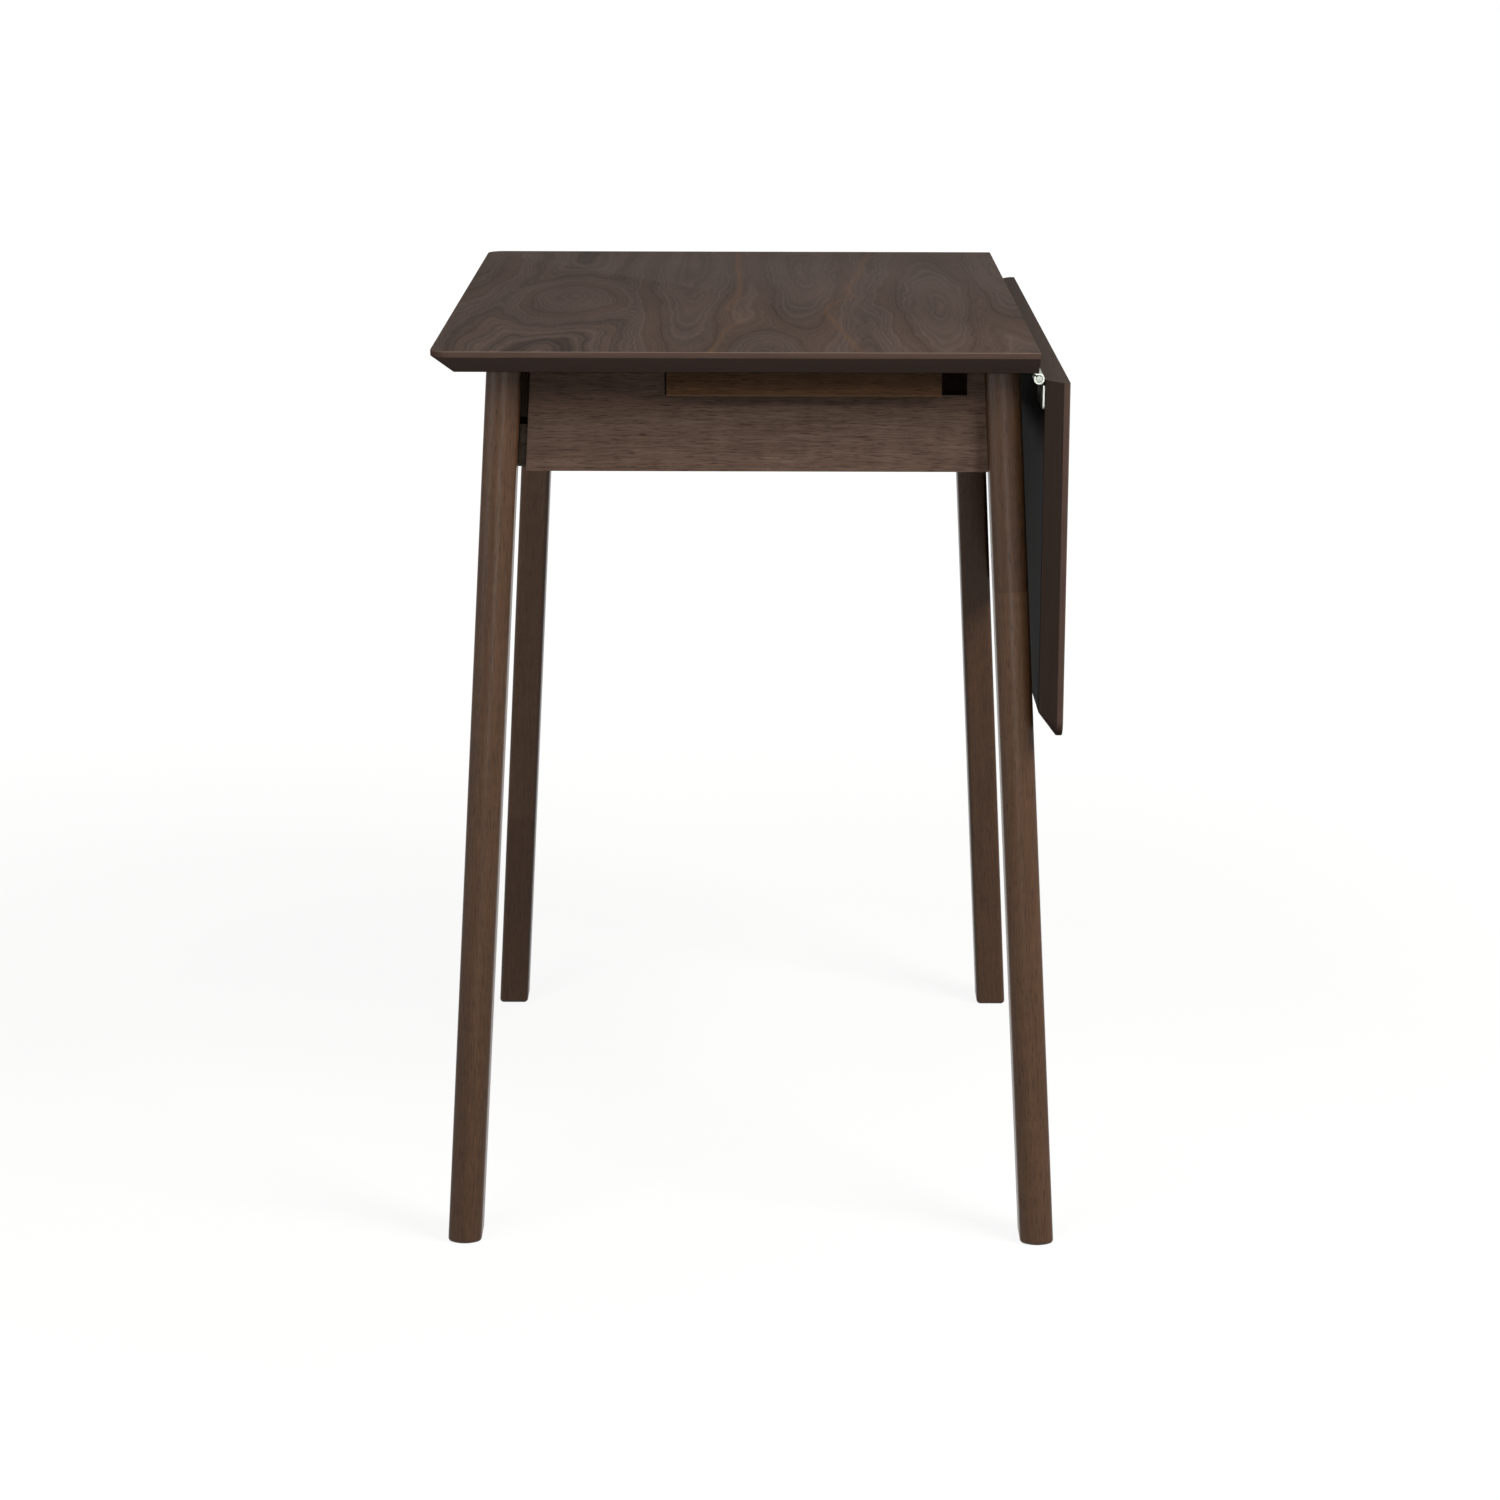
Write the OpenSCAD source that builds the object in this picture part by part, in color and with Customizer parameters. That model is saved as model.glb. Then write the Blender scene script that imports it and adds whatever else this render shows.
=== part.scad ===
// Drop-leaf dining table: a bevelled top and one hinged leaf on four splayed, crowned legs,
// with swing bars let into the top edges of the aprons.
// X runs from the free edge to the leaf, Y from the near end to the far end, Z up from the floor.

/* [Table top] */
// Height of the upper face above the floor
table_h = 750; // [700:1:800]
// Width of the fixed top, from its free edge to the hinge edge
top_w = 484; // [460:1:560]
// Depth of the fixed top and of the leaf
top_d = 700; // [680:5:820]
// Thickness of the top and of the leaf
top_t = 19; // [17:0.5:22]
// Height of the upright band at the edge, above the bevel
edge_t = 5; // [3:0.5:7]
// How far the bevel runs in under the edge
bevel_run = 18; // [10:1:18]
// Radius of the free corners, seen from above
corner_r = 15; // [4:1:30]
// Small bevel on the upper arris
arris = 0.8; // [0.4:0.1:1.5]

/* [Leaf] */
// Width of the leaf, from its hinge edge to its free edge
leaf_w = 290; // [240:1:320]
// Gap between top and leaf when the leaf is up
leaf_gap = 0.6; // [0.4:0.1:2]

/* [Legs] */
// Width of a leg across its flat inner face
leg_w = 28; // [24:1:32]
// Depth of a leg, from its flat face to the crown of its outer face
leg_depth = 38; // [34:1:44]
// Radius of the crowned outer face of a leg
leg_crown_r = 18.5; // [16:0.5:24]
// Radius of the two outer edges of a leg
leg_round_r = 5; // [3:0.5:8]
// Radius of the two inner edges of a leg
leg_edge_r = 4; // [2:0.5:6]
// Lean of the legs, the same along both sides
leg_splay = 3.08; // [1.5:0.1:3.5]
// Distance from the middle of a foot in to the edge of the top, along X
foot_in = 2.5; // [0:0.5:8]
// Distance from the edge of the top out to the crown of a foot, along Y
foot_out = 2.5; // [0:0.5:8]
// Distance of the leg frame from the middle of the top, towards the leaf
frame_offset = 14.4; // [8:0.2:16]
// Gap between the end of a leg and the top
leg_top_gap = 2; // [1.8:0.1:4]

/* [Aprons] */
// Height of the aprons
apron_h = 85; // [75:1:95]
// Thickness of the aprons
apron_t = 20; // [18:0.5:22]
// Distance from the edge of the top in to the face of an end apron
apron_in = 50; // [46:1:56]
// Open gap between the end aprons and the legs on the free side
apron_gap = 7; // [2:0.5:8]
// Gap left in each glued or bolted wood joint
joint_gap = 0.2; // [0.1:0.05:0.3]

/* [Cross rails] */
// Height of the two rails that cross the frame between the side aprons
rail_h = 58; // [50:1:60]
// Thickness of the cross rails
rail_t = 18; // [16:0.5:20]
// Distance from the back of an end apron in to a cross rail
rail_in = 171; // [165:1:176]
// Distance of the rail dowels from the lower and upper edges of a rail
rail_dowel_in = 14; // [10:1:18]

/* [Corner blocks] */
// Length of a corner block along the end apron
block_l = 60; // [50:1:70]
// Depth of a corner block along the side apron
block_w = 38; // [34:1:44]
// Height of a corner block
block_h = 35; // [35:1:42]
// Clearance of the rebate in a corner block, round the inner edge of the leg
leg_room = 0.5; // [0.3:0.1:1]

/* [Swing bars] */
// Length of the bars at the two ends of the table
bar_l = 221; // [190:1:230]
// Depth of the bars at the two ends
bar_w = 30; // [26:1:34]
// How far these bars stand in front of the apron
bar_proud = 13; // [8:0.5:14]
// Distance of their pivots from the middle of the leg frame, towards the leaf
bar_offset = 41; // [30:1:44]
// Length of the two bars beside the leaf
leaf_bar_l = 200; // [160:1:204]
// Wood left in the side apron between a leg and the notch of such a bar
leaf_bar_in = 13; // [11:0.5:15]
// Height of every bar
bar_h = 20.7; // [18:0.1:21]
// Bevel along the long edges of every bar
bar_ease = 1; // [0.5:0.1:2]
// Depth of the notches that hold the bars
notch_h = 22.5; // [22.3:0.1:26]
// Free slot for a finger at the opening end of each bar
slot_w = 21; // [16:0.5:22]
// Room at the other end, which the corner of the bar needs to turn
turn_room = 1.6; // [1.5:0.1:3]
// Diameter of the pivot screws
pivot_d = 6; // [5:0.5:8]
// Diameter of the heads of the pivot screws
pivot_head_d = 12; // [10:0.5:14]
// Height of the heads of the pivot screws
pivot_head_h = 3; // [2:0.5:4]
// Thickness of the washers above the bars
washer_t = 1; // [0.6:0.1:1.2]
// Running clearance beside, above and below a turning piece
run_gap = 0.2; // [0.15:0.05:0.25]
// Radial clearance of a turning piece on its pin
pin_gap = 0.05; // [0.03:0.01:0.08]

/* [Hinges] */
// Length of a hinge
hinge_l = 64; // [50:1:64]
// Distance from the end of the leaf to the first hinge
hinge_in = 19; // [19:1:24]
// Width of a hinge plate from the pin
plate_w = 24.5; // [22:0.5:26]
// Thickness of a hinge plate
plate_t = 1.5; // [1.2:0.1:1.6]
// Diameter of the hinge barrel
knuckle_d = 9; // [8:0.5:11]
// Diameter of the hinge pins
hinge_pin_d = 5; // [3:0.5:5.5]
// Diameter of the hinge screws
hinge_screw_d = 3.2; // [2.8:0.1:4]
// Length of the hinge screws
hinge_screw_l = 14; // [10:0.5:15]
// Distance of the hinge screws from the free edge of their plate
hinge_screw_in = 9.8; // [8:0.2:11]
// Distance of the outer hinge screws from the ends of their plate
hinge_screw_end = 11; // [8:0.5:14]

/* [Frame fixings] */
// Diameter of the bolts between corner blocks and side aprons
bolt_d = 6; // [5:0.5:8]
// Diameter of the bolt heads
bolt_head_d = 13; // [11:0.5:14]
// Height of the bolt heads
bolt_head_h = 3.5; // [2:0.5:5]
// Outer diameter of the threaded inserts
insert_d = 9.5; // [9:0.5:12]
// Length of the threaded inserts
insert_l = 13; // [10:0.5:15]
// Diameter of the dowels in the legs, side aprons and cross rails
dowel_d = 8; // [6:0.5:10]
// Length of these dowels
dowel_l = 50; // [40:1:56]
// Diameter of the wood screws in blocks and brackets
screw_d = 4; // [3.5:0.1:5]
// Length of the screws from the corner blocks into the end aprons
block_screw_l = 50; // [46:1:52]
// Length of the screws in the brackets
bracket_screw_l = 14; // [10:0.5:15]
// Length of each arm of a bracket
bracket_l = 30; // [26:1:36]
// Distance of the bracket screws from the corner of a bracket
bracket_screw_in = 18; // [14:0.5:20]
// Width of a bracket
bracket_w = 20; // [16:1:24]
// Thickness of a bracket
bracket_t = 2; // [1.5:0.1:3]

/* [Hidden] */
$fn = 64;

// Radial clearance of a screw, dowel or bolt in its hole
hole_gap = 0.1;
// Height of the thin layers that a slab is drawn from, left as a flat along each arris
skin = 0.05;
// Overrun of a cut past the face it opens
cut = 1;
// Facets of the curves inside a hull
hull_fn = 32;
// Radius left at a free corner where the bevel is wider than its radius
least_r = 0.5;
// Radial clearance of a bolt in a corner block
bolt_gap = 0.2;
// Cross recess of a screw head, as shares of its diameter
recess_l = 0.6;
recess_w = 0.22;
// Hexagon socket of a bolt head across its corners, as a share of the shank
socket = 0.7;

// Levels
under_z = table_h - top_t;
apron_z = under_z - apron_h;
apron_mid_z = under_z - apron_h / 2;
leg_top_z = under_z - leg_top_gap;

// The feet, measured from the middle of the leg frame
foot_x = top_w / 2 - foot_in;
foot_y = top_d / 2 + foot_out;

// The origin lies under the middle of the whole table, with the leaf down
frame_x = (top_w / 2 + frame_offset - foot_x - leg_w / 2) / 2;
hinge_x = frame_x - frame_offset + top_w / 2;

// Faces of the leg frame, measured from its middle
function lean(z) = z * tan(leg_splay);
function leg_side_x(z) = foot_x - lean(z) - leg_w / 2 / cos(leg_splay);
function leg_flat_y(z) = foot_y - lean(z) - leg_depth / cos(leg_splay);
end_face_y = top_d / 2 - apron_in;
end_back_y = end_face_y - apron_t;
side_mid_x = foot_x - lean(apron_mid_z);
side_back_x = side_mid_x - apron_t / 2;

// The hinge axis
axis_drop = knuckle_d / 2 + run_gap;
axis_x = hinge_x + leaf_gap / 2;
axis_z = under_z - axis_drop;
hinge_mid_y = top_d / 2 - hinge_in - hinge_l / 2;
knuckle_n = 5;
knuckle_l = (hinge_l - (knuckle_n - 1) * run_gap) / knuckle_n;
plate_screw_x = plate_w - hinge_screw_in;
plate_screw_y = hinge_l / 2 - hinge_screw_end;
hinge_head_d = 2 * hinge_screw_d;
// The fixed plate is let into the top, and its edge towards the pin is folded down to the barrel
fold_x = plate_t - knuckle_d / 2;

// The bars
bar_top_z = under_z - washer_t - run_gap;
notch_z = under_z - notch_h;
bar_pivot = [frame_x + bar_offset, -end_face_y - bar_proud + bar_w / 2];
leaf_notch_y = leg_flat_y(under_z) - joint_gap - leaf_bar_in;
leaf_bar_pivot = [frame_x + side_mid_x, -leaf_notch_y + turn_room + leaf_bar_l / 2];
pivot_grip = 12;
washer_d = 15;

// Fixings
dowel_in_leg = 22;
rail_dowel_in_apron = 14;
rail_y = end_back_y - rail_in - rail_t / 2;
bolt_in = 18;
bolt_rise = 8;
block_screw_in = 14;
block_head_d = 2 * screw_d;
insert_end = 1;
side_bracket_gap = 11;
side_bracket_y = rail_y + rail_t / 2 + side_bracket_gap + bracket_w / 2;
end_bracket_x = 125;

module flip_x(on) { if (on) mirror([1, 0, 0]) children(); else children(); }
module flip_y(on) { if (on) mirror([0, 1, 0]) children(); else children(); }

// A piece drawn at the near left corner of the leg frame is placed at one of the four corners
module corner(right, far) translate([frame_x, 0, 0]) flip_x(right) flip_y(far) children();
module corners() for (right = [false, true], far = [false, true]) corner(right, far) children();

// Turn a piece drawn with the leaf up to where it hangs
module hung() {
  translate([axis_x, 0, axis_z]) rotate([0, 90, 0]) translate([-axis_x, 0, -axis_z]) children();
}

// One layer of a slab: square on the hinge edge at x = 0, round free corners on -X
module slab_layer(w, inset, z) {
  r = max(corner_r - inset, least_r);
  translate([0, 0, z]) linear_extrude(skin) {
    for (s = [-1, 1]) translate([-w + inset + r, s * (top_d / 2 - inset - r)]) circle(r, $fn = hull_fn);
    translate([-skin, -top_d / 2 + inset]) square([skin, top_d - 2 * inset]);
  }
}

// A slab with its upper face at z = 0, bevelled below on the free edge and both ends
module slab(w) {
  hull() {
    slab_layer(w, bevel_run, -top_t);
    slab_layer(w, 0, -edge_t);
    slab_layer(w, 0, -arris);
    slab_layer(w, arris, -skin);
  }
}

// A countersunk screw, its head flush at z = 0, pointing down
module flat_screw(d, l, head_d, head_h) {
  difference() {
    union() {
      translate([0, 0, -head_h]) cylinder(h = head_h, d1 = d, d2 = head_d);
      translate([0, 0, -l]) cylinder(h = l - head_h / 2, d = d);
    }
    for (a = [0, 90]) rotate(a) cube([recess_l * head_d, recess_w * head_d, head_h], center = true);
  }
}

// The hole that a countersunk screw needs
module flat_screw_hole(d, l, head_d, head_h) {
  translate([0, 0, -head_h]) cylinder(h = head_h, d1 = d + 2 * hole_gap, d2 = head_d + 2 * hole_gap);
  translate([0, 0, -hole_gap]) cylinder(h = cut, d = head_d + 2 * hole_gap);
  translate([0, 0, -l - hole_gap]) cylinder(h = l, d = d + 2 * hole_gap);
}

// Places of the hinge screws on one plate, drawn with the leaf up, from below
module at_plate_screws(side) {
  for (s = [-1, 0, 1])
    translate([axis_x + side * plate_screw_x, s * plate_screw_y, side > 0 ? under_z - plate_t : under_z])
      rotate([180, 0, 0]) children();
}

module at_hinges() for (y = [-hinge_mid_y, 0, hinge_mid_y]) translate([0, y, 0]) children();

// Barrel knuckles with the given numbers, round the hinge axis
module knuckles(own) {
  for (i = own) translate([0, -hinge_l / 2 + i * (knuckle_l + run_gap), 0]) {
    rotate([-90, 0, 0]) cylinder(h = knuckle_l, d = knuckle_d);
    children();
  }
}

module hinge_bores(side) {
  translate([axis_x, -hinge_l / 2 - cut, axis_z])
    rotate([-90, 0, 0]) cylinder(h = hinge_l + 2 * cut, d = hinge_pin_d + 2 * pin_gap);
  at_plate_screws(side) flat_screw_hole(hinge_screw_d, hinge_screw_l, hinge_head_d, plate_t);
}

// The half on the leaf, drawn with the leaf up: a flat plate below the leaf
module flap_half() {
  difference() {
    translate([axis_x, 0, axis_z]) {
      translate([knuckle_d / 2 + run_gap, -hinge_l / 2, axis_drop - plate_t])
        cube([plate_w - knuckle_d / 2 - run_gap, hinge_l, plate_t]);
      knuckles([1:2:knuckle_n - 1]) translate([0, 0, axis_drop - plate_t]) cube([knuckle_d, knuckle_l, plate_t]);
    }
    hinge_bores(1);
  }
}

// The half on the top: a plate in the pocket, folded down to its knuckles
module plate_half() {
  difference() {
    translate([axis_x, 0, axis_z]) {
      translate([-plate_w, -hinge_l / 2, axis_drop]) cube([plate_w + fold_x, hinge_l, plate_t]);
      knuckles([0:2:knuckle_n - 1])
        translate([-knuckle_d / 2, 0, 0]) cube([plate_t, knuckle_l, axis_drop + plate_t]);
    }
    hinge_bores(-1);
  }
}

// Pocket for that plate in the underside of the top
module plate_pocket() {
  translate([axis_x - plate_w - run_gap, -hinge_l / 2 - run_gap, under_z - cut])
    cube([plate_w + fold_x + 2 * run_gap, hinge_l + 2 * run_gap, cut + plate_t]);
}

// Places of the brackets: two on the left apron, one on the right and one on each end apron
module at_brackets() {
  for (s = [-1, 1]) translate([frame_x - side_back_x, s * side_bracket_y, under_z]) children();
  translate([frame_x + side_back_x, 0, under_z]) rotate(180) children();
  for (s = [-1, 1]) translate([frame_x - end_bracket_x, s * end_back_y, under_z]) rotate(-s * 90) children();
}

// Screws of one bracket: one up into the top and one back into the apron
module at_bracket_screws() {
  translate([bracket_screw_in, 0, -bracket_t]) rotate([180, 0, 0]) children();
  translate([bracket_t, 0, -bracket_screw_in]) rotate([0, 90, 0]) children();
}

// Places of the bolts in a corner block, pointing at the side apron, from the near left corner
module at_frame_bolts() {
  for (z = [bolt_rise, block_h - bolt_rise])
    translate([-side_back_x, -end_back_y + bolt_in, apron_z + z]) rotate([0, 90, 0]) children();
}

// Places of the screws in a corner block, pointing at the end apron, from the near left corner
module at_block_screws() {
  for (x = [block_screw_in, block_l - block_screw_in])
    translate([-side_back_x + joint_gap + x, -end_back_y + joint_gap + block_w, apron_z + block_h / 2])
      rotate([-90, 0, 0]) children();
}

// The near left leg's own frame: crown of the foot at the origin, leaning in on both sides
module leg_frame() {
  translate([-foot_x, -foot_y, 0]) rotate([0, leg_splay, 0]) rotate([-leg_splay, 0, 0]) children();
}

// Height along the leg at which a dowel crosses the height z inside the side apron
function dowel_along(z) =
  (z / cos(leg_splay) + (leg_depth + (dowel_l - dowel_in_leg) / 2) * sin(leg_splay)) / cos(leg_splay);

module at_dowels() {
  for (z = [apron_z + block_h / 2, under_z - notch_h - block_h / 2])
    leg_frame() translate([0, leg_depth, dowel_along(z)]) rotate([-90, 0, 0]) children();
}

// Places of the rail dowels on the inner face of the left side apron, pointing into the rail
module at_rail_dowels() {
  for (z = [rail_dowel_in, rail_h - rail_dowel_in])
    translate([-side_back_x, -rail_y, apron_z + z]) rotate([0, 90, 0]) children();
}

module rail_dowel_hole() {
  translate([0, 0, -rail_dowel_in_apron - hole_gap])
    cylinder(h = dowel_l + 2 * hole_gap, d = dowel_d + 2 * hole_gap);
}

module dowel_hole(in_leg) {
  translate([0, 0, in_leg ? -dowel_in_leg - hole_gap : -cut])
    cylinder(h = (in_leg ? dowel_in_leg : dowel_l - dowel_in_leg) + cut + hole_gap, d = dowel_d + 2 * hole_gap);
}

// Pivots of the four bars, at the underside of the top
module at_end_pivots() for (far = [false, true]) flip_y(far) translate([bar_pivot.x, bar_pivot.y, under_z]) children();
module at_leaf_pivots()
  for (far = [false, true]) flip_y(far) translate([leaf_bar_pivot.x, leaf_bar_pivot.y, under_z]) children();

module pivot_hole() {
  translate([0, 0, -cut]) cylinder(h = pivot_grip + cut + hole_gap, d = pivot_d + 2 * hole_gap);
}

// Section of a leg: crowned outer face at y = 0, round outer edges, flat inner face
module leg_section() {
  side_x = leg_w / 2 - leg_round_r;
  blend_r = leg_crown_r - leg_round_r;
  round_y = leg_crown_r - sqrt(blend_r * blend_r - side_x * side_x);
  crown_x = side_x * leg_crown_r / blend_r;
  edge_x = leg_w / 2 - leg_edge_r;
  intersection() {
    translate([0, leg_crown_r]) circle(leg_crown_r, $fn = 160);
    translate([-crown_x, 0]) square([2 * crown_x, leg_crown_r]);
  }
  for (s = [-1, 1]) {
    translate([s * side_x, round_y]) circle(leg_round_r);
    translate([s * edge_x, leg_depth - leg_edge_r]) circle(leg_edge_r);
  }
  translate([-leg_w / 2, round_y]) square([leg_w, leg_depth - leg_edge_r - round_y]);
  translate([-edge_x, leg_crown_r / 2]) square([2 * edge_x, leg_depth - leg_crown_r / 2]);
}

module leg(right, far) {
  color("#553f32") corner(right, far) difference() {
    intersection() {
      leg_frame() translate([0, 0, -leg_depth]) linear_extrude(table_h + leg_depth) leg_section();
      translate([-top_w, -top_d, 0]) cube([top_w, top_d, leg_top_z]);
    }
    at_dowels() dowel_hole(true);
  }
}

module end_apron(far) {
  left = [-leg_side_x(apron_z) + apron_gap, -leg_side_x(under_z) + apron_gap];
  right = [leg_side_x(apron_z) - joint_gap, leg_side_x(under_z) - joint_gap];
  color("#4f3e35") flip_y(far) difference() {
    translate([frame_x, -end_back_y, 0]) rotate([90, 0, 0]) linear_extrude(apron_t)
      polygon([[left[0], apron_z], [right[0], apron_z], [right[1], under_z], [left[1], under_z]]);
    translate([bar_pivot.x - bar_l / 2 - turn_room, -end_face_y - cut, notch_z])
      cube([bar_l + turn_room + slot_w, apron_t + 2 * cut, notch_h + cut]);
    for (right_side = [false, true]) corner(right_side, false) at_block_screws()
      flat_screw_hole(screw_d, block_screw_l, block_head_d, screw_d);
    at_brackets() at_bracket_screws() flat_screw_hole(screw_d, bracket_screw_l, block_head_d, bracket_t);
  }
}

// Outline of a side apron along Y, its ends on the flat faces of the legs
module side_board() {
  low = leg_flat_y(apron_z) - joint_gap;
  high = leg_flat_y(under_z) - joint_gap;
  translate([side_back_x, 0, 0]) rotate([90, 0, 90]) linear_extrude(apron_t)
    polygon([[-low, apron_z], [low, apron_z], [high, under_z], [-high, under_z]]);
}

module side_apron_holes() {
  for (far = [false, true]) flip_y(far) {
    at_dowels() dowel_hole(false);
    at_rail_dowels() rail_dowel_hole();
    at_frame_bolts() rotate([180, 0, 0]) cylinder(h = insert_l + insert_end, d = insert_d + 2 * hole_gap);
  }
}

module apron_left() {
  color("#4f3e35") difference() {
    translate([frame_x, 0, 0]) flip_x(true) side_board();
    translate([frame_x, 0, 0]) side_apron_holes();
    at_brackets() at_bracket_screws() flat_screw_hole(screw_d, bracket_screw_l, block_head_d, bracket_t);
  }
}

module apron_right() {
  color("#4f3e35") difference() {
    translate([frame_x, 0, 0]) side_board();
    translate([frame_x, 0, 0]) flip_x(true) side_apron_holes();
    at_brackets() at_bracket_screws() flat_screw_hole(screw_d, bracket_screw_l, block_head_d, bracket_t);
    for (far = [false, true]) flip_y(far)
      translate([leaf_bar_pivot.x - apron_t, -leaf_notch_y, notch_z])
        cube([2 * apron_t, turn_room + leaf_bar_l + slot_w, notch_h + cut]);
  }
}

module cross_rail(far) {
  color("#4c3c33") flip_y(far) difference() {
    translate([frame_x - side_back_x + joint_gap, -rail_y - rail_t / 2, apron_z])
      cube([2 * (side_back_x - joint_gap), rail_t, rail_h]);
    for (right = [false, true]) corner(right, false) at_rail_dowels() rail_dowel_hole();
  }
}

// A leg stands a little inside the back of the side apron, so each corner block is rebated round it
module leg_rebate() {
  top_z = apron_z + block_h;
  translate([-leg_side_x(top_z) + leg_room - leg_w, -leg_flat_y(top_z) + leg_room - leg_depth, apron_z - cut])
    cube([leg_w, leg_depth, block_h + 2 * cut]);
}

module block(right, far) {
  color("#46352b") corner(right, far) difference() {
    translate([-side_back_x + joint_gap, -end_back_y + joint_gap, apron_z]) cube([block_l, block_w, block_h]);
    at_frame_bolts() cylinder(h = block_l + cut, d = bolt_d + 2 * bolt_gap);
    at_block_screws() flat_screw_hole(screw_d, block_screw_l, block_head_d, screw_d);
    leg_rebate();
  }
}

module table_top() {
  color("#52463f") difference() {
    translate([hinge_x, 0, table_h]) slab(top_w);
    at_end_pivots() pivot_hole();
    at_leaf_pivots() pivot_hole();
    at_hinges() {
      plate_pocket();
      at_plate_screws(-1) hinge_pilot();
    }
    at_brackets() at_bracket_screws() flat_screw_hole(screw_d, bracket_screw_l, screw_d, bracket_t);
  }
}

// Pilot hole of a hinge screw in the wood
module hinge_pilot() {
  translate([0, 0, -hinge_screw_l - hole_gap]) cylinder(h = hinge_screw_l, d = hinge_screw_d + 2 * hole_gap);
}

module drop_leaf() {
  color("#4b3a32") hung() difference() {
    translate([axis_x + leaf_gap / 2, 0, table_h]) flip_x(true) slab(leaf_w);
    at_hinges() at_plate_screws(1) hinge_pilot();
  }
}

// A bar with eased long edges, its middle at the origin and its upper face at z = 0
module bar_blank(l, w) {
  e = bar_ease;
  translate([-l / 2, 0, -bar_h]) rotate([90, 0, 90]) linear_extrude(l)
    polygon([[-w / 2 + e, 0], [w / 2 - e, 0], [w / 2, e], [w / 2, bar_h - e],
             [w / 2 - e, bar_h], [-w / 2 + e, bar_h], [-w / 2, bar_h - e], [-w / 2, e]]);
}

module bar_bore() {
  translate([0, 0, -bar_h - cut]) cylinder(h = bar_h + 2 * cut, d = pivot_d + 2 * pin_gap);
  translate([0, 0, -bar_h - cut])
    cylinder(h = pivot_head_h + 2 * run_gap + cut, d = pivot_head_d + 4 * run_gap);
}

module end_bar(far) {
  color("#4c3a2a") flip_y(far) translate([bar_pivot.x, bar_pivot.y, bar_top_z]) difference() {
    bar_blank(bar_l, bar_w);
    bar_bore();
  }
}

module leaf_bar(far) {
  color("#4c3a2a") flip_y(far) translate([leaf_bar_pivot.x, leaf_bar_pivot.y, bar_top_z]) rotate(90) difference() {
    bar_blank(leaf_bar_l, apron_t);
    bar_bore();
  }
}

// A shouldered screw that hangs a bar from the top, its head let into the bar
module pivot_screw() {
  head_z = -washer_t - bar_h;
  translate([0, 0, head_z]) cylinder(h = washer_t + bar_h + pivot_grip, d = pivot_d);
  difference() {
    translate([0, 0, head_z]) cylinder(h = pivot_head_h, d = pivot_head_d);
    translate([0, 0, head_z - cut]) cylinder(h = cut + pivot_head_h / 2, d = pivot_d * socket, $fn = 6);
  }
}

module bar_pivot_screws() {
  color("#a8aaa8") {
    at_end_pivots() pivot_screw();
    at_leaf_pivots() pivot_screw();
  }
}

module bar_washer() {
  translate([0, 0, -washer_t]) difference() {
    cylinder(h = washer_t, d = washer_d);
    translate([0, 0, -cut]) cylinder(h = washer_t + 2 * cut, d = pivot_d + 2 * hole_gap);
  }
}

module bar_washers() {
  color("#b4b6b4") {
    at_end_pivots() bar_washer();
    at_leaf_pivots() bar_washer();
  }
}

module hinge_plate(y) color("#999e95") translate([0, y, 0]) plate_half();
module hinge_flap(y) color("#999e95") hung() translate([0, y, 0]) flap_half();

module hinge_pins() {
  color("#8c908a") at_hinges() translate([axis_x, -hinge_l / 2, axis_z])
    rotate([-90, 0, 0]) cylinder(h = hinge_l, d = hinge_pin_d);
}

module hinge_plate_screws() {
  color("#8c908a") at_hinges() at_plate_screws(-1)
    flat_screw(hinge_screw_d, hinge_screw_l, hinge_head_d, plate_t);
}

module hinge_flap_screws() {
  color("#8c908a") hung() at_hinges() at_plate_screws(1)
    flat_screw(hinge_screw_d, hinge_screw_l, hinge_head_d, plate_t);
}

module leg_dowels() {
  color("#b08d62") corners() at_dowels() translate([0, 0, -dowel_in_leg]) cylinder(h = dowel_l, d = dowel_d);
}

module rail_dowels() {
  color("#b08d62") corners() at_rail_dowels() translate([0, 0, -rail_dowel_in_apron])
    cylinder(h = dowel_l, d = dowel_d);
}

module frame_bolts() {
  color("#8c908a") corners() at_frame_bolts() {
    translate([0, 0, -insert_l]) cylinder(h = insert_l + joint_gap + block_l + washer_t, d = bolt_d);
    translate([0, 0, joint_gap + block_l + washer_t]) difference() {
      cylinder(h = bolt_head_h, d = bolt_head_d);
      translate([0, 0, bolt_head_h / 3]) cylinder(h = bolt_head_h, d = bolt_d * socket, $fn = 6);
    }
  }
}

module frame_bolt_washers() {
  color("#b4b6b4") corners() at_frame_bolts() translate([0, 0, joint_gap + block_l]) difference() {
    cylinder(h = washer_t, d = washer_d);
    translate([0, 0, -cut]) cylinder(h = washer_t + 2 * cut, d = bolt_d + 2 * hole_gap);
  }
}

module frame_inserts() {
  color("#b59a5a") corners() at_frame_bolts() translate([0, 0, -insert_l]) difference() {
    cylinder(h = insert_l, d = insert_d);
    translate([0, 0, -cut]) cylinder(h = insert_l + 2 * cut, d = bolt_d + 2 * hole_gap);
  }
}

module block_screws() {
  color("#8c908a") corners() at_block_screws() flat_screw(screw_d, block_screw_l, block_head_d, screw_d);
}

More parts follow.
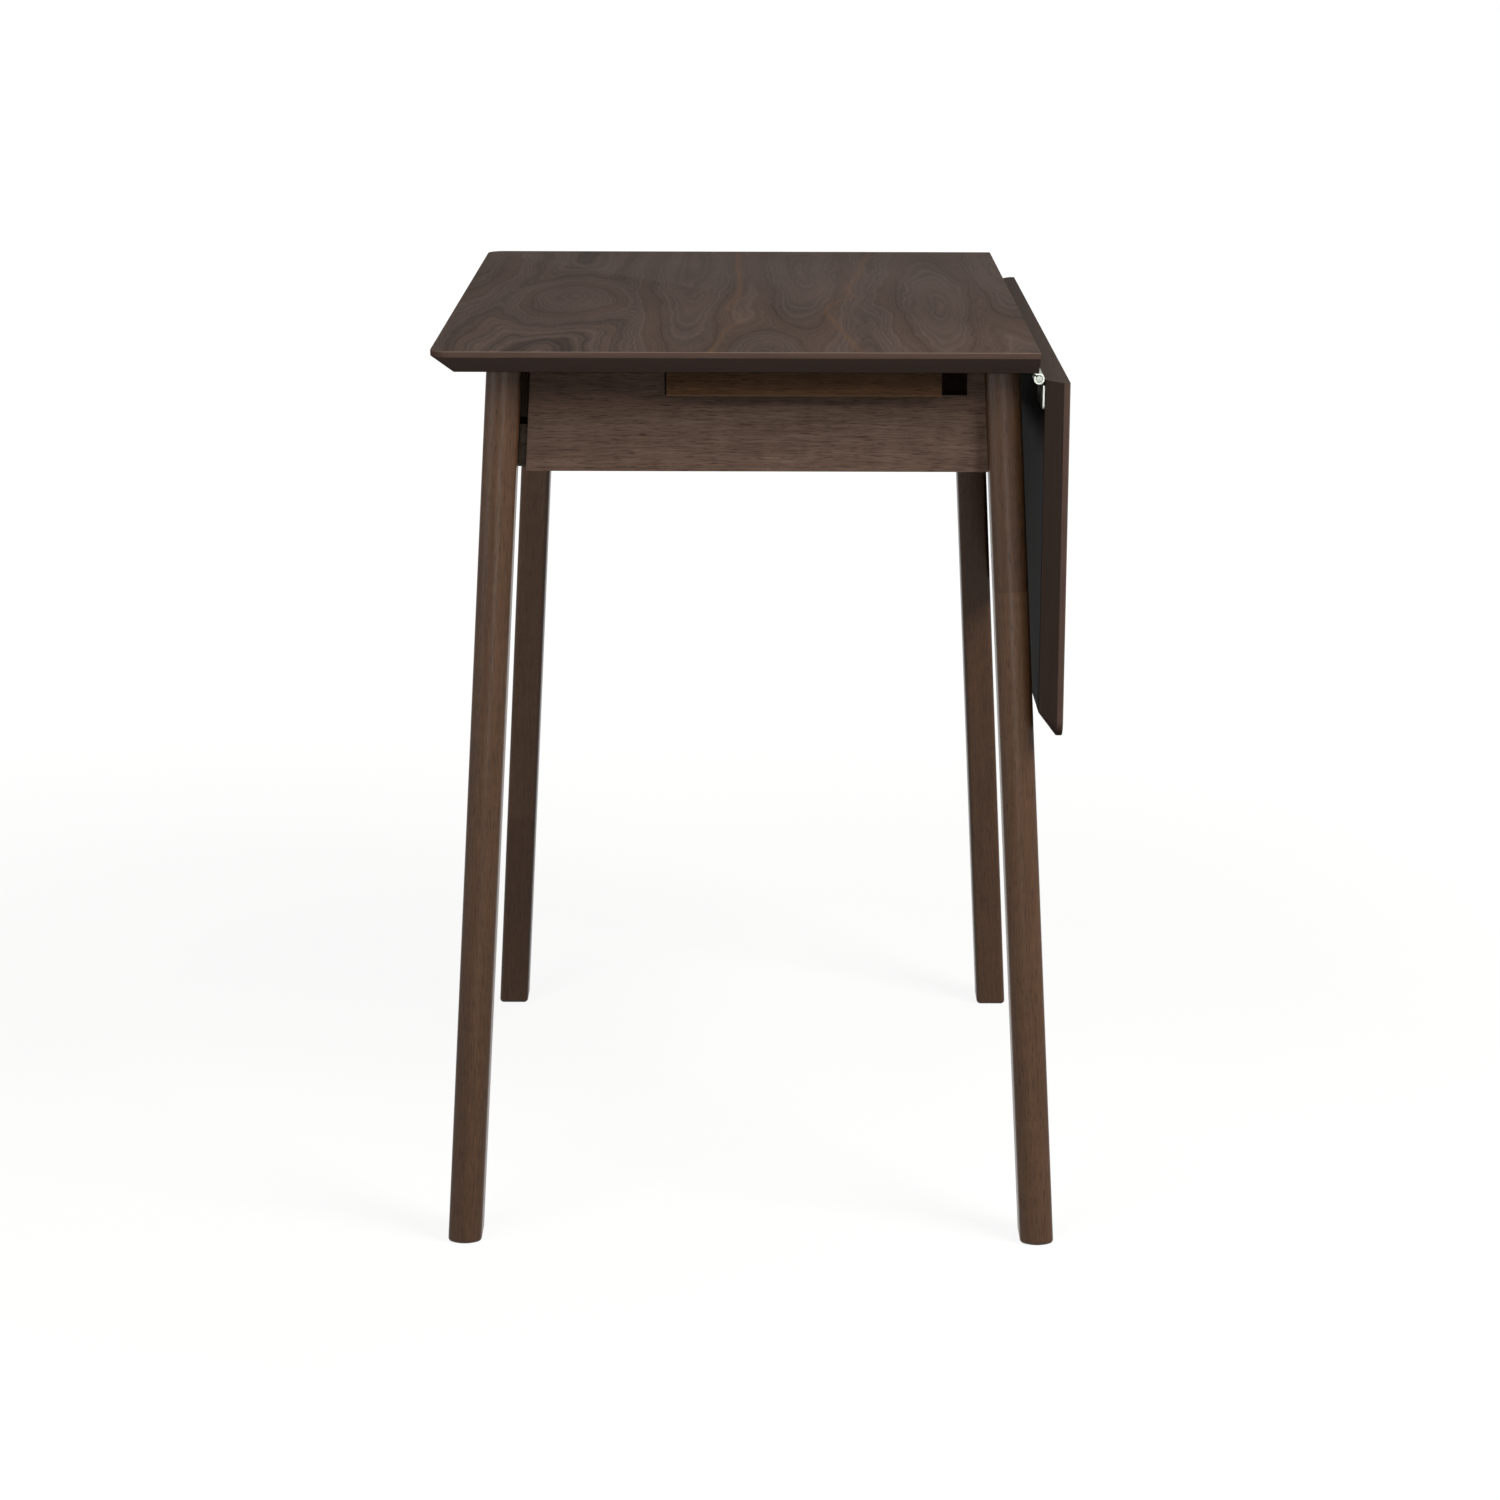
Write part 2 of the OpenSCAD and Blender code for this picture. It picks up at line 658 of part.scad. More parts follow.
module top_brackets() {
  color("#2b2a28") at_brackets() difference() {
    translate([0, bracket_w / 2, 0]) rotate([90, 0, 0]) linear_extrude(bracket_w)
      polygon([[0, 0], [bracket_l, 0], [bracket_l, -bracket_t], [bracket_t, -bracket_t],
               [bracket_t, -bracket_l], [0, -bracket_l]]);
    at_bracket_screws() flat_screw_hole(screw_d, bracket_screw_l, block_head_d, bracket_t);
  }
}

module bracket_screws() {
  color("#2b2a28") at_brackets() at_bracket_screws() flat_screw(screw_d, bracket_screw_l, block_head_d, bracket_t);
}

table_top();
drop_leaf();
leg(false, false);  // leg_near_left
leg(true, false);  // leg_near_right
leg(false, true);  // leg_far_left
leg(true, true);  // leg_far_right
end_apron(false);  // apron_near
end_apron(true);  // apron_far
apron_left();
apron_right();
cross_rail(false);  // cross_rail_near
cross_rail(true);  // cross_rail_far
block(false, false);  // block_near_left
block(true, false);  // block_near_right
block(false, true);  // block_far_left
block(true, true);  // block_far_right
end_bar(false);  // bar_near
end_bar(true);  // bar_far
leaf_bar(false);  // leaf_bar_near
leaf_bar(true);  // leaf_bar_far
bar_pivot_screws();
bar_washers();
hinge_plate(-hinge_mid_y);  // hinge_near_plate
hinge_plate(0);  // hinge_mid_plate
hinge_plate(hinge_mid_y);  // hinge_far_plate
hinge_flap(-hinge_mid_y);  // hinge_near_flap
hinge_flap(0);  // hinge_mid_flap
hinge_flap(hinge_mid_y);  // hinge_far_flap
hinge_pins();
hinge_plate_screws();
hinge_flap_screws();
leg_dowels();
rail_dowels();
frame_bolts();
frame_bolt_washers();
frame_inserts();
block_screws();
top_brackets();
bracket_screws();
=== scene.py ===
# A small drop-leaf dining table in dark walnut veneer and stained rubberwood, its one leaf hanging.
# Metres; +X towards the leaf, +Y away from the photographer, +Z up; the origin is on the floor.
import math

import bmesh
import bpy
from mathutils import Matrix, Vector


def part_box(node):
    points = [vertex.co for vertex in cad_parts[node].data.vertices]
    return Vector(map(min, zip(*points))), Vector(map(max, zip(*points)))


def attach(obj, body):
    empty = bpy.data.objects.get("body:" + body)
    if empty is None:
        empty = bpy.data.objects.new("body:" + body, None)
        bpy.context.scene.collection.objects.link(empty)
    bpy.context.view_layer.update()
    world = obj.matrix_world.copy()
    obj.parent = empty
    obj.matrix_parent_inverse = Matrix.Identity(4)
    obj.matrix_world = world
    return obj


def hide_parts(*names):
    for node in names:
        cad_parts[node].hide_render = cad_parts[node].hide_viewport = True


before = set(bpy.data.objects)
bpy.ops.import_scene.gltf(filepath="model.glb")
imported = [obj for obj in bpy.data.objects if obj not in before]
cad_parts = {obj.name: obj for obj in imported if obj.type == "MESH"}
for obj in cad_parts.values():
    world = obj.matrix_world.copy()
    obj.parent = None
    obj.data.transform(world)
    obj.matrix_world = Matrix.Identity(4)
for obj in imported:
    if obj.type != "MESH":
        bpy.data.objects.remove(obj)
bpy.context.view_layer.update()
mm = 0.001


# Camera
# The photo is a 1500 by 1500 frame from a long lens, looking down a little from 3.4 metres away,
# so the far legs stand only slightly inside the near ones and the top shows as a narrow wedge.
frame_px = 1500
focal_px = 3846
sensor_w = 36
camera_at = Vector((0.0056, -3.3755, 1.1721))
pitch = math.radians(13.849)
yaw = math.radians(-0.109)
roll = math.radians(0.141)

look = Vector((math.sin(yaw) * math.cos(pitch), math.cos(yaw) * math.cos(pitch), -math.sin(pitch)))
level = Vector((math.cos(yaw), -math.sin(yaw), 0))
rise = level.cross(look)
right = level * math.cos(roll) + rise * math.sin(roll)
up = rise * math.cos(roll) - level * math.sin(roll)

camera = bpy.data.objects.new("photo_camera", bpy.data.cameras.new("photo_camera"))
camera.data.sensor_width = sensor_w
camera.data.lens = focal_px / frame_px * sensor_w
camera.data.clip_end = 60
camera.matrix_world = Matrix.Translation(camera_at) @ Matrix((right, up, -look)).transposed().to_4x4()
bpy.context.scene.collection.objects.link(camera)
bpy.context.scene.camera = camera
bpy.context.scene.view_settings.view_transform = "Standard"


# Studio
# A white room. A low lamp on the left and a high one on each side in front of the table draw the soft
# shadow under the top and the one that the leaf throws on its leg. A small lamp low in front gives the
# legs their upright highlight, and weak ones above and behind fill the rest.
def add(tree, kind, inputs=None, **settings):
    """A new node with its settings; each input is a value or another node's output."""
    node = tree.nodes.new(kind)
    for key, value in settings.items():
        setattr(node, key, value)
    for key, value in (inputs or {}).items():
        if isinstance(value, bpy.types.NodeSocket):
            tree.links.new(value, node.inputs[key])
        else:
            node.inputs[key].default_value = value
    return node


def colour(code):
    """A hex colour as sRGB, turned to linear."""
    parts = [int(code[i:i + 2], 16) / 255 for i in (1, 3, 5)]
    return [p / 12.92 if p <= 0.04045 else ((p + 0.055) / 1.055) ** 2.4 for p in parts] + [1]


floor_size = 30
floor_grey = "#5a5856"
floor_lift = 0.9
far_lift = 0.1
near_floor = 0.7
far_floor = 2.5
fill_level = 0.1

world = bpy.data.worlds.new("white_room")
world.use_nodes = True
bpy.context.scene.world = world
tree = world.node_tree
tree.nodes.clear()
path = add(tree, "ShaderNodeLightPath")
seen = add(tree, "ShaderNodeMath", {0: path.outputs["Is Camera Ray"], 1: path.outputs["Is Glossy Ray"]},
           operation="MAXIMUM")
seen = add(tree, "ShaderNodeMath", {0: seen.outputs[0], 1: path.outputs["Is Transmission Ray"]},
           operation="MAXIMUM")
fill = add(tree, "ShaderNodeBackground", {"Color": (1, 1, 1, 1), "Strength": fill_level})
backdrop = add(tree, "ShaderNodeBackground", {"Color": (1, 1, 1, 1), "Strength": 1})
mixed = add(tree, "ShaderNodeMixShader", {0: seen.outputs[0], 1: fill.outputs[0], 2: backdrop.outputs[0]})
add(tree, "ShaderNodeOutputWorld", {"Surface": mixed.outputs[0]})

floor_mat = bpy.data.materials.new("pale_floor")
floor_mat.use_nodes = True
tree = floor_mat.node_tree
tree.nodes.clear()
path = add(tree, "ShaderNodeLightPath")
matt = add(tree, "ShaderNodeBsdfDiffuse", {"Color": colour(floor_grey)})
# The floor is white to the eye; away from the table it is lifted more, where the lamps fall off
coords = add(tree, "ShaderNodeTexCoord")
reach = add(tree, "ShaderNodeVectorMath", {0: coords.outputs["Object"]}, operation="LENGTH")
reach = add(tree, "ShaderNodeMapRange",
            {"Value": reach.outputs["Value"], "From Min": near_floor, "From Max": far_floor,
             "To Min": floor_lift, "To Max": floor_lift + far_lift})
lift = add(tree, "ShaderNodeEmission", {"Color": (1, 1, 1, 1), "Strength": reach.outputs[0]})
bright = add(tree, "ShaderNodeAddShader", {0: matt.outputs[0], 1: lift.outputs[0]})
seen = add(tree, "ShaderNodeMath", {0: path.outputs["Is Camera Ray"], 1: path.outputs["Is Glossy Ray"]},
           operation="MAXIMUM")
mixed = add(tree, "ShaderNodeMixShader", {0: seen.outputs[0], 1: matt.outputs[0], 2: bright.outputs[0]})
add(tree, "ShaderNodeOutputMaterial", {"Surface": mixed.outputs[0]})

floor_mesh = bpy.data.meshes.new("floor")
half = floor_size / 2
floor_corners = [(-half, -half, 0), (half, -half, 0), (half, half, 0), (-half, half, 0)]
floor_mesh.from_pydata(floor_corners, [], [(0, 1, 2, 3)])
floor_mesh.materials.append(floor_mat)
floor = bpy.data.objects.new("floor", floor_mesh)
bpy.context.scene.collection.objects.link(floor)


def lamp(name, at, aim, size, watts):
    """A soft box at one place, turned to another."""
    light = bpy.data.lights.new(name, "AREA")
    light.shape = "RECTANGLE"
    light.size, light.size_y = size
    light.energy = watts
    holder = bpy.data.objects.new(name, light)
    holder.location = at
    holder.rotation_euler = (Vector(aim) - Vector(at)).to_track_quat("-Z", "Y").to_euler()
    bpy.context.scene.collection.objects.link(holder)


table_middle = (0, 0, 0.45)
leg_middle = (0, 0, 0.4)
lamp("low_left_softbox", (-2.5, -2.1, 0.96), table_middle, (1.4, 1.4), 14)
lamp("high_left_softbox", (-1.23, -2.12, 2.71), table_middle, (1.4, 1.4), 40)
lamp("high_right_softbox", (2.05, -1.72, 2.44), table_middle, (1.4, 1.4), 114)
lamp("low_front_softbox", (0.1, -3.6, 0.25), leg_middle, (0.6, 0.5), 11)
lamp("overhead_softbox", (0, -0.1, 3.8), table_middle, (2, 2), 6)
lamp("back_softbox", (1.1, 2.2, 3), table_middle, (1.6, 1.6), 16)


# Table top
# A 19 mm fibreboard, faced above with crown-cut walnut veneer under satin lacquer. The upright
# edge has a thin walnut band, and the bevel below it and the underside are painted dark brown. Three
# shallow pockets in the underside take the fixed hinge plates.
top_low, top_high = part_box("table_top")
board_t = top_high.z - top_low.z
board_d = top_high.y - top_low.y
band_h = 5 * mm
bevel_run = 18 * mm
corner_r = 15 * mm
arris = 0.8 * mm
sharp_r = 0.5 * mm
soft_edge = 0.5 * mm
soft_lip = 0.075 * mm
corner_steps = 14
arris_steps = 4
sharp_angle = math.radians(32)


def loft(name, rings, pockets=(), pocket_depth=0):
    """A closed solid through rings of points, which all have as many points. A pocket is a flat-bottomed
    hollow in the first ring's face, given as its low x, low y, high x and high y."""
    mesh = bpy.data.meshes.new(name)
    body = bmesh.new()
    rows = [[body.verts.new(p) for p in ring] for ring in rings]
    count = len(rows[0])
    for low, high in zip(rows, rows[1:]):
        for i in range(count):
            body.faces.new((low[i], low[(i + 1) % count], high[(i + 1) % count], high[i]))
    body.faces.new(rows[-1])
    if not pockets:
        body.faces.new(rows[0][::-1])
    else:
        z = rings[0][0].z
        loops = [rows[0]]
        for low_x, low_y, high_x, high_y in pockets:
            corners = ((low_x, low_y), (high_x, low_y), (high_x, high_y), (low_x, high_y))
            mouth = [body.verts.new((x, y, z)) for x, y in corners]
            bed = [body.verts.new((x, y, z + pocket_depth)) for x, y in corners]
            body.faces.new(bed)
            for i in range(4):
                body.faces.new((mouth[i], mouth[(i + 1) % 4], bed[(i + 1) % 4], bed[i]))
            loops.append(mouth)
        edges = []
        for loop in loops:
            for i in range(len(loop)):
                pair = (loop[i], loop[(i + 1) % len(loop)])
                edges.append(body.edges.get(pair) or body.edges.new(pair))
        bmesh.ops.triangle_fill(body, edges=edges, use_beauty=True)
    bmesh.ops.recalc_face_normals(body, faces=body.faces)
    for face in body.faces:
        face.smooth = True
    body.to_mesh(mesh)
    body.free()
    mesh.set_sharp_from_angle(angle=sharp_angle)
    piece = bpy.data.objects.new(name, mesh)
    bpy.context.scene.collection.objects.link(piece)
    return piece


def board_ring(hinge_x, free_x, inset, z):
    """The outline of a board: a straight hinge edge, and round corners on the free edge."""
    side = math.copysign(1, free_x - hinge_x)
    r = max(corner_r - inset, sharp_r)
    centre_x = free_x - side * (inset + r)
    centre_y = board_d / 2 - inset - r
    far = []
    for i in range(corner_steps + 1):
        turn = math.pi / 2 * i / corner_steps
        far.append((centre_x + side * r * math.sin(turn), centre_y + r * math.cos(turn)))
    outline = [(hinge_x, board_d / 2 - inset)] + far
    return [Vector((x, y, z)) for x, y in outline] + [Vector((x, -y, z)) for x, y in reversed(outline)]


def board(name, hinge_x, free_x, pockets=(), pocket_depth=0):
    """A board with its upper face level at the height of the table, whichever way it hangs."""
    top_z = top_high.z
    levels = [(bevel_run, -board_t)]
    slope = Vector((bevel_run, band_h - board_t)).normalized() * soft_edge
    levels += [(slope.x, slope.y - band_h), (soft_lip, -band_h), (0, soft_edge - band_h)]
    for i in range(arris_steps + 1):
        turn = math.pi / 2 * i / arris_steps
        levels.append((arris * (1 - math.cos(turn)), arris * (math.sin(turn) - 1)))
    rings = [board_ring(hinge_x, free_x, inset, top_z + z) for inset, z in levels]
    return loft(name, rings, pockets, pocket_depth)


# Patterns are worked out in millimetres
to_mm = (1000, 1000, 1000)
# Crowns of the veneer, in millimetres from the middle of the top: centre, half width, half length.
# Each is a nest of long ovals, where the knife ran through a growth ring at a shallow angle.
crowns = [
    (-290, -300, 30, 260),
    (-142, -20, 44, 120),
    (-250, 330, 26, 230),
    (-40, 250, 18, 330),
    (22, -370, 40, 170),
    (58, 190, 22, 260),
    (172, -60, 20, 200),
    (245, 260, 22, 260),
    (335, -150, 34, 200),
    (470, 170, 30, 260),
]
# The two pale streaks, each as millimetres from the middle along the table and across it
streaks = [
    [(-350, -19), (-270, -12), (-215, -8), (-162, 3), (-113, 0), (-75, -8), (-27, -2), (27, 1), (188, 0),
     (350, -2)],
    [(-350, 99), (-270, 92), (-215, 86), (-162, 82), (-108, 77), (-59, 81), (-27, 89), (0, 104), (27, 98),
     (81, 100), (118, 105), (188, 113), (242, 116), (350, 126)],
]
# A streak is drawn within this far of the middle, along and across. It is this wide to each side of its
# own middle, and the fibres make its sides ragged by this much.
streak_reach = 350
streak_span = 250
streak_half = 5
ragged_by = 2
# Other sizes in the figure of the veneer, in millimetres: each pair is across and along the board
ring_sway = (46, 150)
sway_size = (70, 260)
crown_blend = 24
wide_pitch = 28
ring_pitch = 6
line_pitch = 2
hue_pitch = 15
fibre_size = (0.9, 70)
cloud_size = (55, 210)
pore_size = (0.6, 9)
# How strongly each of these shows over the wood, from 0 to 1
hue_share = 0.25
streak_share = 0.32
pore_share = 0.55
arris_highlight_share = 0.45
# Where in its noise each of these patterns starts
wide_start = 9
hue_start = 40
cloud_start = (7, 3, 0)
# The band's layers are this long and high, and a painted highlight on the arris fades in between these
# heights
layer_l = 30
layer_t = 0.8
highlight_top = -0.04
highlight_low = -0.3
walnut_dark = "#342e2a"
walnut_light = "#5a4c45"
walnut_brown = "#503f36"
walnut_streak = "#644b37"
walnut_pore = "#2a221e"
# A lighter tone painted on the front arris as its highlight
arris_highlight = "#7d695c"
band_dark = "#44362f"
band_light = "#5a4840"
# The bevel's paint is drawn lighter than its own colour: painted light, standing in for light thrown up
# from the floor onto this face that looks down
lit_bevel_paint = ("#584b44", "#655750")
edge_paint = ("#3d3531", "#49403b")
under_paint = "#15110e"
# The lacquer and the paint are thin and dull, so they add almost no white of the room to the dark board
veneer_gloss = 0.0003
paint_gloss = 0.0001
# Lacquer and paint have the IOR of a common resin. The satin lacquer's roughness changes with the rings,
# and the paint is smoother on the flat underside than on the bevel.
resin_ior = 1.5
satin_rough = (0.36, 0.44)
bevel_rough = 0.4
under_rough = 0.25
# Brush marks are this long and wide, and the colour of the underside ends this far above it
brush_l = 40
brush_w = 1.5
under_skin = 0.3


def crown_depth(tree, swayed):
    """How far each place is from the middle of its nest of ovals. The nests blend where they meet."""
    depth = None
    for x, y, half_w, half_l in crowns:
        ratio = half_w / half_l
        oval = add(tree, "ShaderNodeVectorMath",
                   {0: swayed.outputs[0], 1: (1, ratio, 0), 2: (-x, -y * ratio, 0)},
                   operation="MULTIPLY_ADD")
        reach = add(tree, "ShaderNodeVectorMath", {0: oval.outputs[0]}, operation="LENGTH")
        if depth is None:
            depth = reach.outputs["Value"]
        else:
            both = add(tree, "ShaderNodeMath", {0: depth, 1: reach.outputs["Value"], 2: crown_blend},
                       operation="SMOOTH_MIN")
            depth = both.outputs[0]
    return depth


def streaked(tree, wood, apart, fibre, points):
    """The wood with one pale streak, whose middle runs through these points and whose sides are ragged."""
    along = add(tree, "ShaderNodeMapRange",
                {"Value": apart.outputs["Y"], "From Min": -streak_reach, "From Max": streak_reach,
                 "To Min": 0, "To Max": 1})
    path = add(tree, "ShaderNodeFloatCurve", {"Value": along.outputs[0]})
    bends = path.mapping.curves[0].points
    places = [((y + streak_reach) / (2 * streak_reach), (x + streak_span) / (2 * streak_span))
              for y, x in points]
    bends[0].location = places[0]
    bends[1].location = places[-1]
    for place in places[1:-1]:
        bends.new(*place)
    path.mapping.update()
    across = add(tree, "ShaderNodeMapRange",
                 {"Value": path.outputs[0], "From Min": 0, "From Max": 1,
                  "To Min": -streak_span, "To Max": streak_span})
    ragged = add(tree, "ShaderNodeMath", {0: fibre.outputs[0], 1: ragged_by, 2: apart.outputs["X"]},
                 operation="MULTIPLY_ADD")
    off = add(tree, "ShaderNodeMath", {0: ragged.outputs[0], 1: across.outputs[0]}, operation="SUBTRACT")
    off = add(tree, "ShaderNodeMath", {0: off.outputs[0], 1: ragged_by / 2}, operation="SUBTRACT")
    off = add(tree, "ShaderNodeMath", {0: off.outputs[0]}, operation="ABSOLUTE")
    glow = add(tree, "ShaderNodeMapRange",
               {"Value": off.outputs[0], "From Min": 0, "From Max": streak_half,
                "To Min": streak_share, "To Max": 0},
               interpolation_type="SMOOTHSTEP")
    return add(tree, "ShaderNodeMix",
               {"Factor": glow.outputs[0], 6: wood.outputs[2], 7: colour(walnut_streak)},
               data_type="RGBA")


def walnut_board(name):
    """Walnut veneer: open pores, nested crowns and fine straight fibres under a satin lacquer."""
    material = bpy.data.materials.new(name)
    material.use_nodes = True
    tree = material.node_tree
    tree.nodes.clear()
    coords = add(tree, "ShaderNodeTexCoord")
    middle_x = (top_low.x + top_high.x) / 2
    spot = add(tree, "ShaderNodeVectorMath",
               {0: coords.outputs["Object"], 1: to_mm, 2: (-middle_x / mm, 0, -top_high.z / mm)},
               operation="MULTIPLY_ADD")
    apart = add(tree, "ShaderNodeSeparateXYZ", {0: spot.outputs[0]})

    # The growth rings sway by a centimetre or so along the board
    slow = add(tree, "ShaderNodeMapping",
               {"Vector": spot.outputs[0], "Scale": (1 / sway_size[0], 1 / sway_size[1], 1)})
    sway = add(tree, "ShaderNodeTexNoise",
               {"Vector": slow.outputs[0], "Scale": 1, "Detail": 3, "Roughness": 0.55})
    sway = add(tree, "ShaderNodeVectorMath",
               {0: sway.outputs["Color"], 1: (*ring_sway, 0), 2: (-ring_sway[0] / 2, -ring_sway[1] / 2, 0)},
               operation="MULTIPLY_ADD")
    swayed = add(tree, "ShaderNodeVectorMath", {0: spot.outputs[0], 1: sway.outputs[0]}, operation="ADD")

    depth = crown_depth(tree, swayed)

    # Bands, rings and lines, about 28, 6 and 2 mm apart, all follow the same crowns
    wide_w = add(tree, "ShaderNodeMath", {0: depth, 1: 1 / wide_pitch, 2: wide_start},
                 operation="MULTIPLY_ADD")
    wide = add(tree, "ShaderNodeTexNoise", {"W": wide_w.outputs[0], "Scale": 1, "Detail": 1},
               noise_dimensions="1D")
    ring_w = add(tree, "ShaderNodeMath", {0: depth, 1: 1 / ring_pitch}, operation="MULTIPLY")
    ring = add(tree, "ShaderNodeTexNoise",
               {"W": ring_w.outputs[0], "Scale": 1, "Detail": 2, "Roughness": 0.6}, noise_dimensions="1D")
    line_w = add(tree, "ShaderNodeMath", {0: depth, 1: 1 / line_pitch}, operation="MULTIPLY")
    line = add(tree, "ShaderNodeTexNoise",
               {"W": line_w.outputs[0], "Scale": 1, "Detail": 2, "Roughness": 0.7}, noise_dimensions="1D")
    thread = add(tree, "ShaderNodeMapping",
                 {"Vector": swayed.outputs[0], "Scale": (1 / fibre_size[0], 1 / fibre_size[1], 1)})
    fibre = add(tree, "ShaderNodeTexNoise", {"Vector": thread.outputs[0], "Scale": 1, "Detail": 2})
    patch = add(tree, "ShaderNodeMapping",
                {"Vector": spot.outputs[0], "Scale": (1 / cloud_size[0], 1 / cloud_size[1], 1),
                 "Location": cloud_start})
    cloud = add(tree, "ShaderNodeTexNoise", {"Vector": patch.outputs[0], "Scale": 1, "Detail": 1})

    tone = 0.5
    for source, weight in ((wide, 1.3), (ring, 1.1), (line, 0.6), (fibre, 0.3), (cloud, 0.5)):
        share = add(tree, "ShaderNodeMath", {0: source.outputs[0], 1: -0.5}, operation="ADD")
        share = add(tree, "ShaderNodeMath", {0: share.outputs[0], 1: weight, 2: tone},
                    operation="MULTIPLY_ADD")
        tone = share.outputs[0]
    wood = add(tree, "ShaderNodeMix", {"Factor": tone, 6: colour(walnut_dark), 7: colour(walnut_light)},
               data_type="RGBA", clamp_factor=True)

    # Some rings are browner than the grey ones beside them
    hue_w = add(tree, "ShaderNodeMath", {0: depth, 1: 1 / hue_pitch, 2: hue_start},
                operation="MULTIPLY_ADD")
    hue = add(tree, "ShaderNodeTexNoise", {"W": hue_w.outputs[0], "Scale": 1, "Detail": 2},
              noise_dimensions="1D")
    hue = add(tree, "ShaderNodeMapRange",
              {"Value": hue.outputs[0], "From Min": 0.45, "From Max": 0.62,
               "To Min": 0, "To Max": hue_share})
    wood = add(tree, "ShaderNodeMix",
               {"Factor": hue.outputs[0], 6: wood.outputs[2], 7: colour(walnut_brown)}, data_type="RGBA")

    # Pale streaks along the crowns, about 6 mm wide and strongest in the middle
    for points in streaks:
        wood = streaked(tree, wood, apart, fibre, points)

    # Pores are 0.2 mm wide on real walnut and drawn 0.6 mm wide, so that they show
    dash = add(tree, "ShaderNodeMapping",
               {"Vector": swayed.outputs[0], "Scale": (1 / pore_size[0], 1 / pore_size[1], 1)})
    pore = add(tree, "ShaderNodeTexNoise", {"Vector": dash.outputs[0], "Scale": 1, "Detail": 1})
    pore = add(tree, "ShaderNodeMapRange",
               {"Value": pore.outputs[0], "From Min": 0.6, "From Max": 0.72,
                "To Min": 0, "To Max": pore_share})
    wood = add(tree, "ShaderNodeMix",
               {"Factor": pore.outputs[0], 6: wood.outputs[2], 7: colour(walnut_pore)}, data_type="RGBA")

    # The band has its grain along the edge, in layers a millimetre or so high
    layers = add(tree, "ShaderNodeMapping",
                 {"Vector": spot.outputs[0], "Scale": (1 / layer_l, 1 / layer_l, 1 / layer_t)})
    strip = add(tree, "ShaderNodeTexNoise", {"Vector": layers.outputs[0], "Scale": 1, "Detail": 3})
    band = add(tree, "ShaderNodeMix",
               {"Factor": strip.outputs[0], 6: colour(band_dark), 7: colour(band_light)}, data_type="RGBA")
    # A painted highlight on the rounded arris: a lighter tone mixed into the veneer there
    arris_sheen = add(tree, "ShaderNodeMapRange",
               {"Value": apart.outputs["Z"], "From Min": highlight_top, "From Max": highlight_low,
                "To Min": 0, "To Max": arris_highlight_share})
    wood = add(tree, "ShaderNodeMix",
               {"Factor": arris_sheen.outputs[0], 6: wood.outputs[2], 7: colour(arris_highlight)}, data_type="RGBA")

    # Veneer lies above the lower end of the arris, and the band below it
    is_veneer = add(tree, "ShaderNodeMath", {0: apart.outputs["Z"], 1: -arris / mm},
                    operation="GREATER_THAN")
    skin = add(tree, "ShaderNodeMix",
               {"Factor": is_veneer.outputs[0], 6: band.outputs[2], 7: wood.outputs[2]}, data_type="RGBA")

    dull = add(tree, "ShaderNodeMapRange",
               {"Value": ring.outputs[0], "From Min": 0.3, "From Max": 0.7,
                "To Min": satin_rough[0], "To Max": satin_rough[1]})
    relief = add(tree, "ShaderNodeMath", {0: pore.outputs[0], 1: -1, 2: fibre.outputs[0]},
                 operation="MULTIPLY_ADD")
    bump = add(tree, "ShaderNodeBump",
               {"Height": relief.outputs[0], "Strength": 0.12, "Distance": 0.1 * mm})
    shader = add(tree, "ShaderNodeBsdfPrincipled",
                 {"Base Color": skin.outputs[2], "Roughness": dull.outputs[0], "Normal": bump.outputs[0],
                  "IOR": resin_ior, "Specular IOR Level": veneer_gloss})
    add(tree, "ShaderNodeOutputMaterial", {"Surface": shader.outputs[0]})
    return material


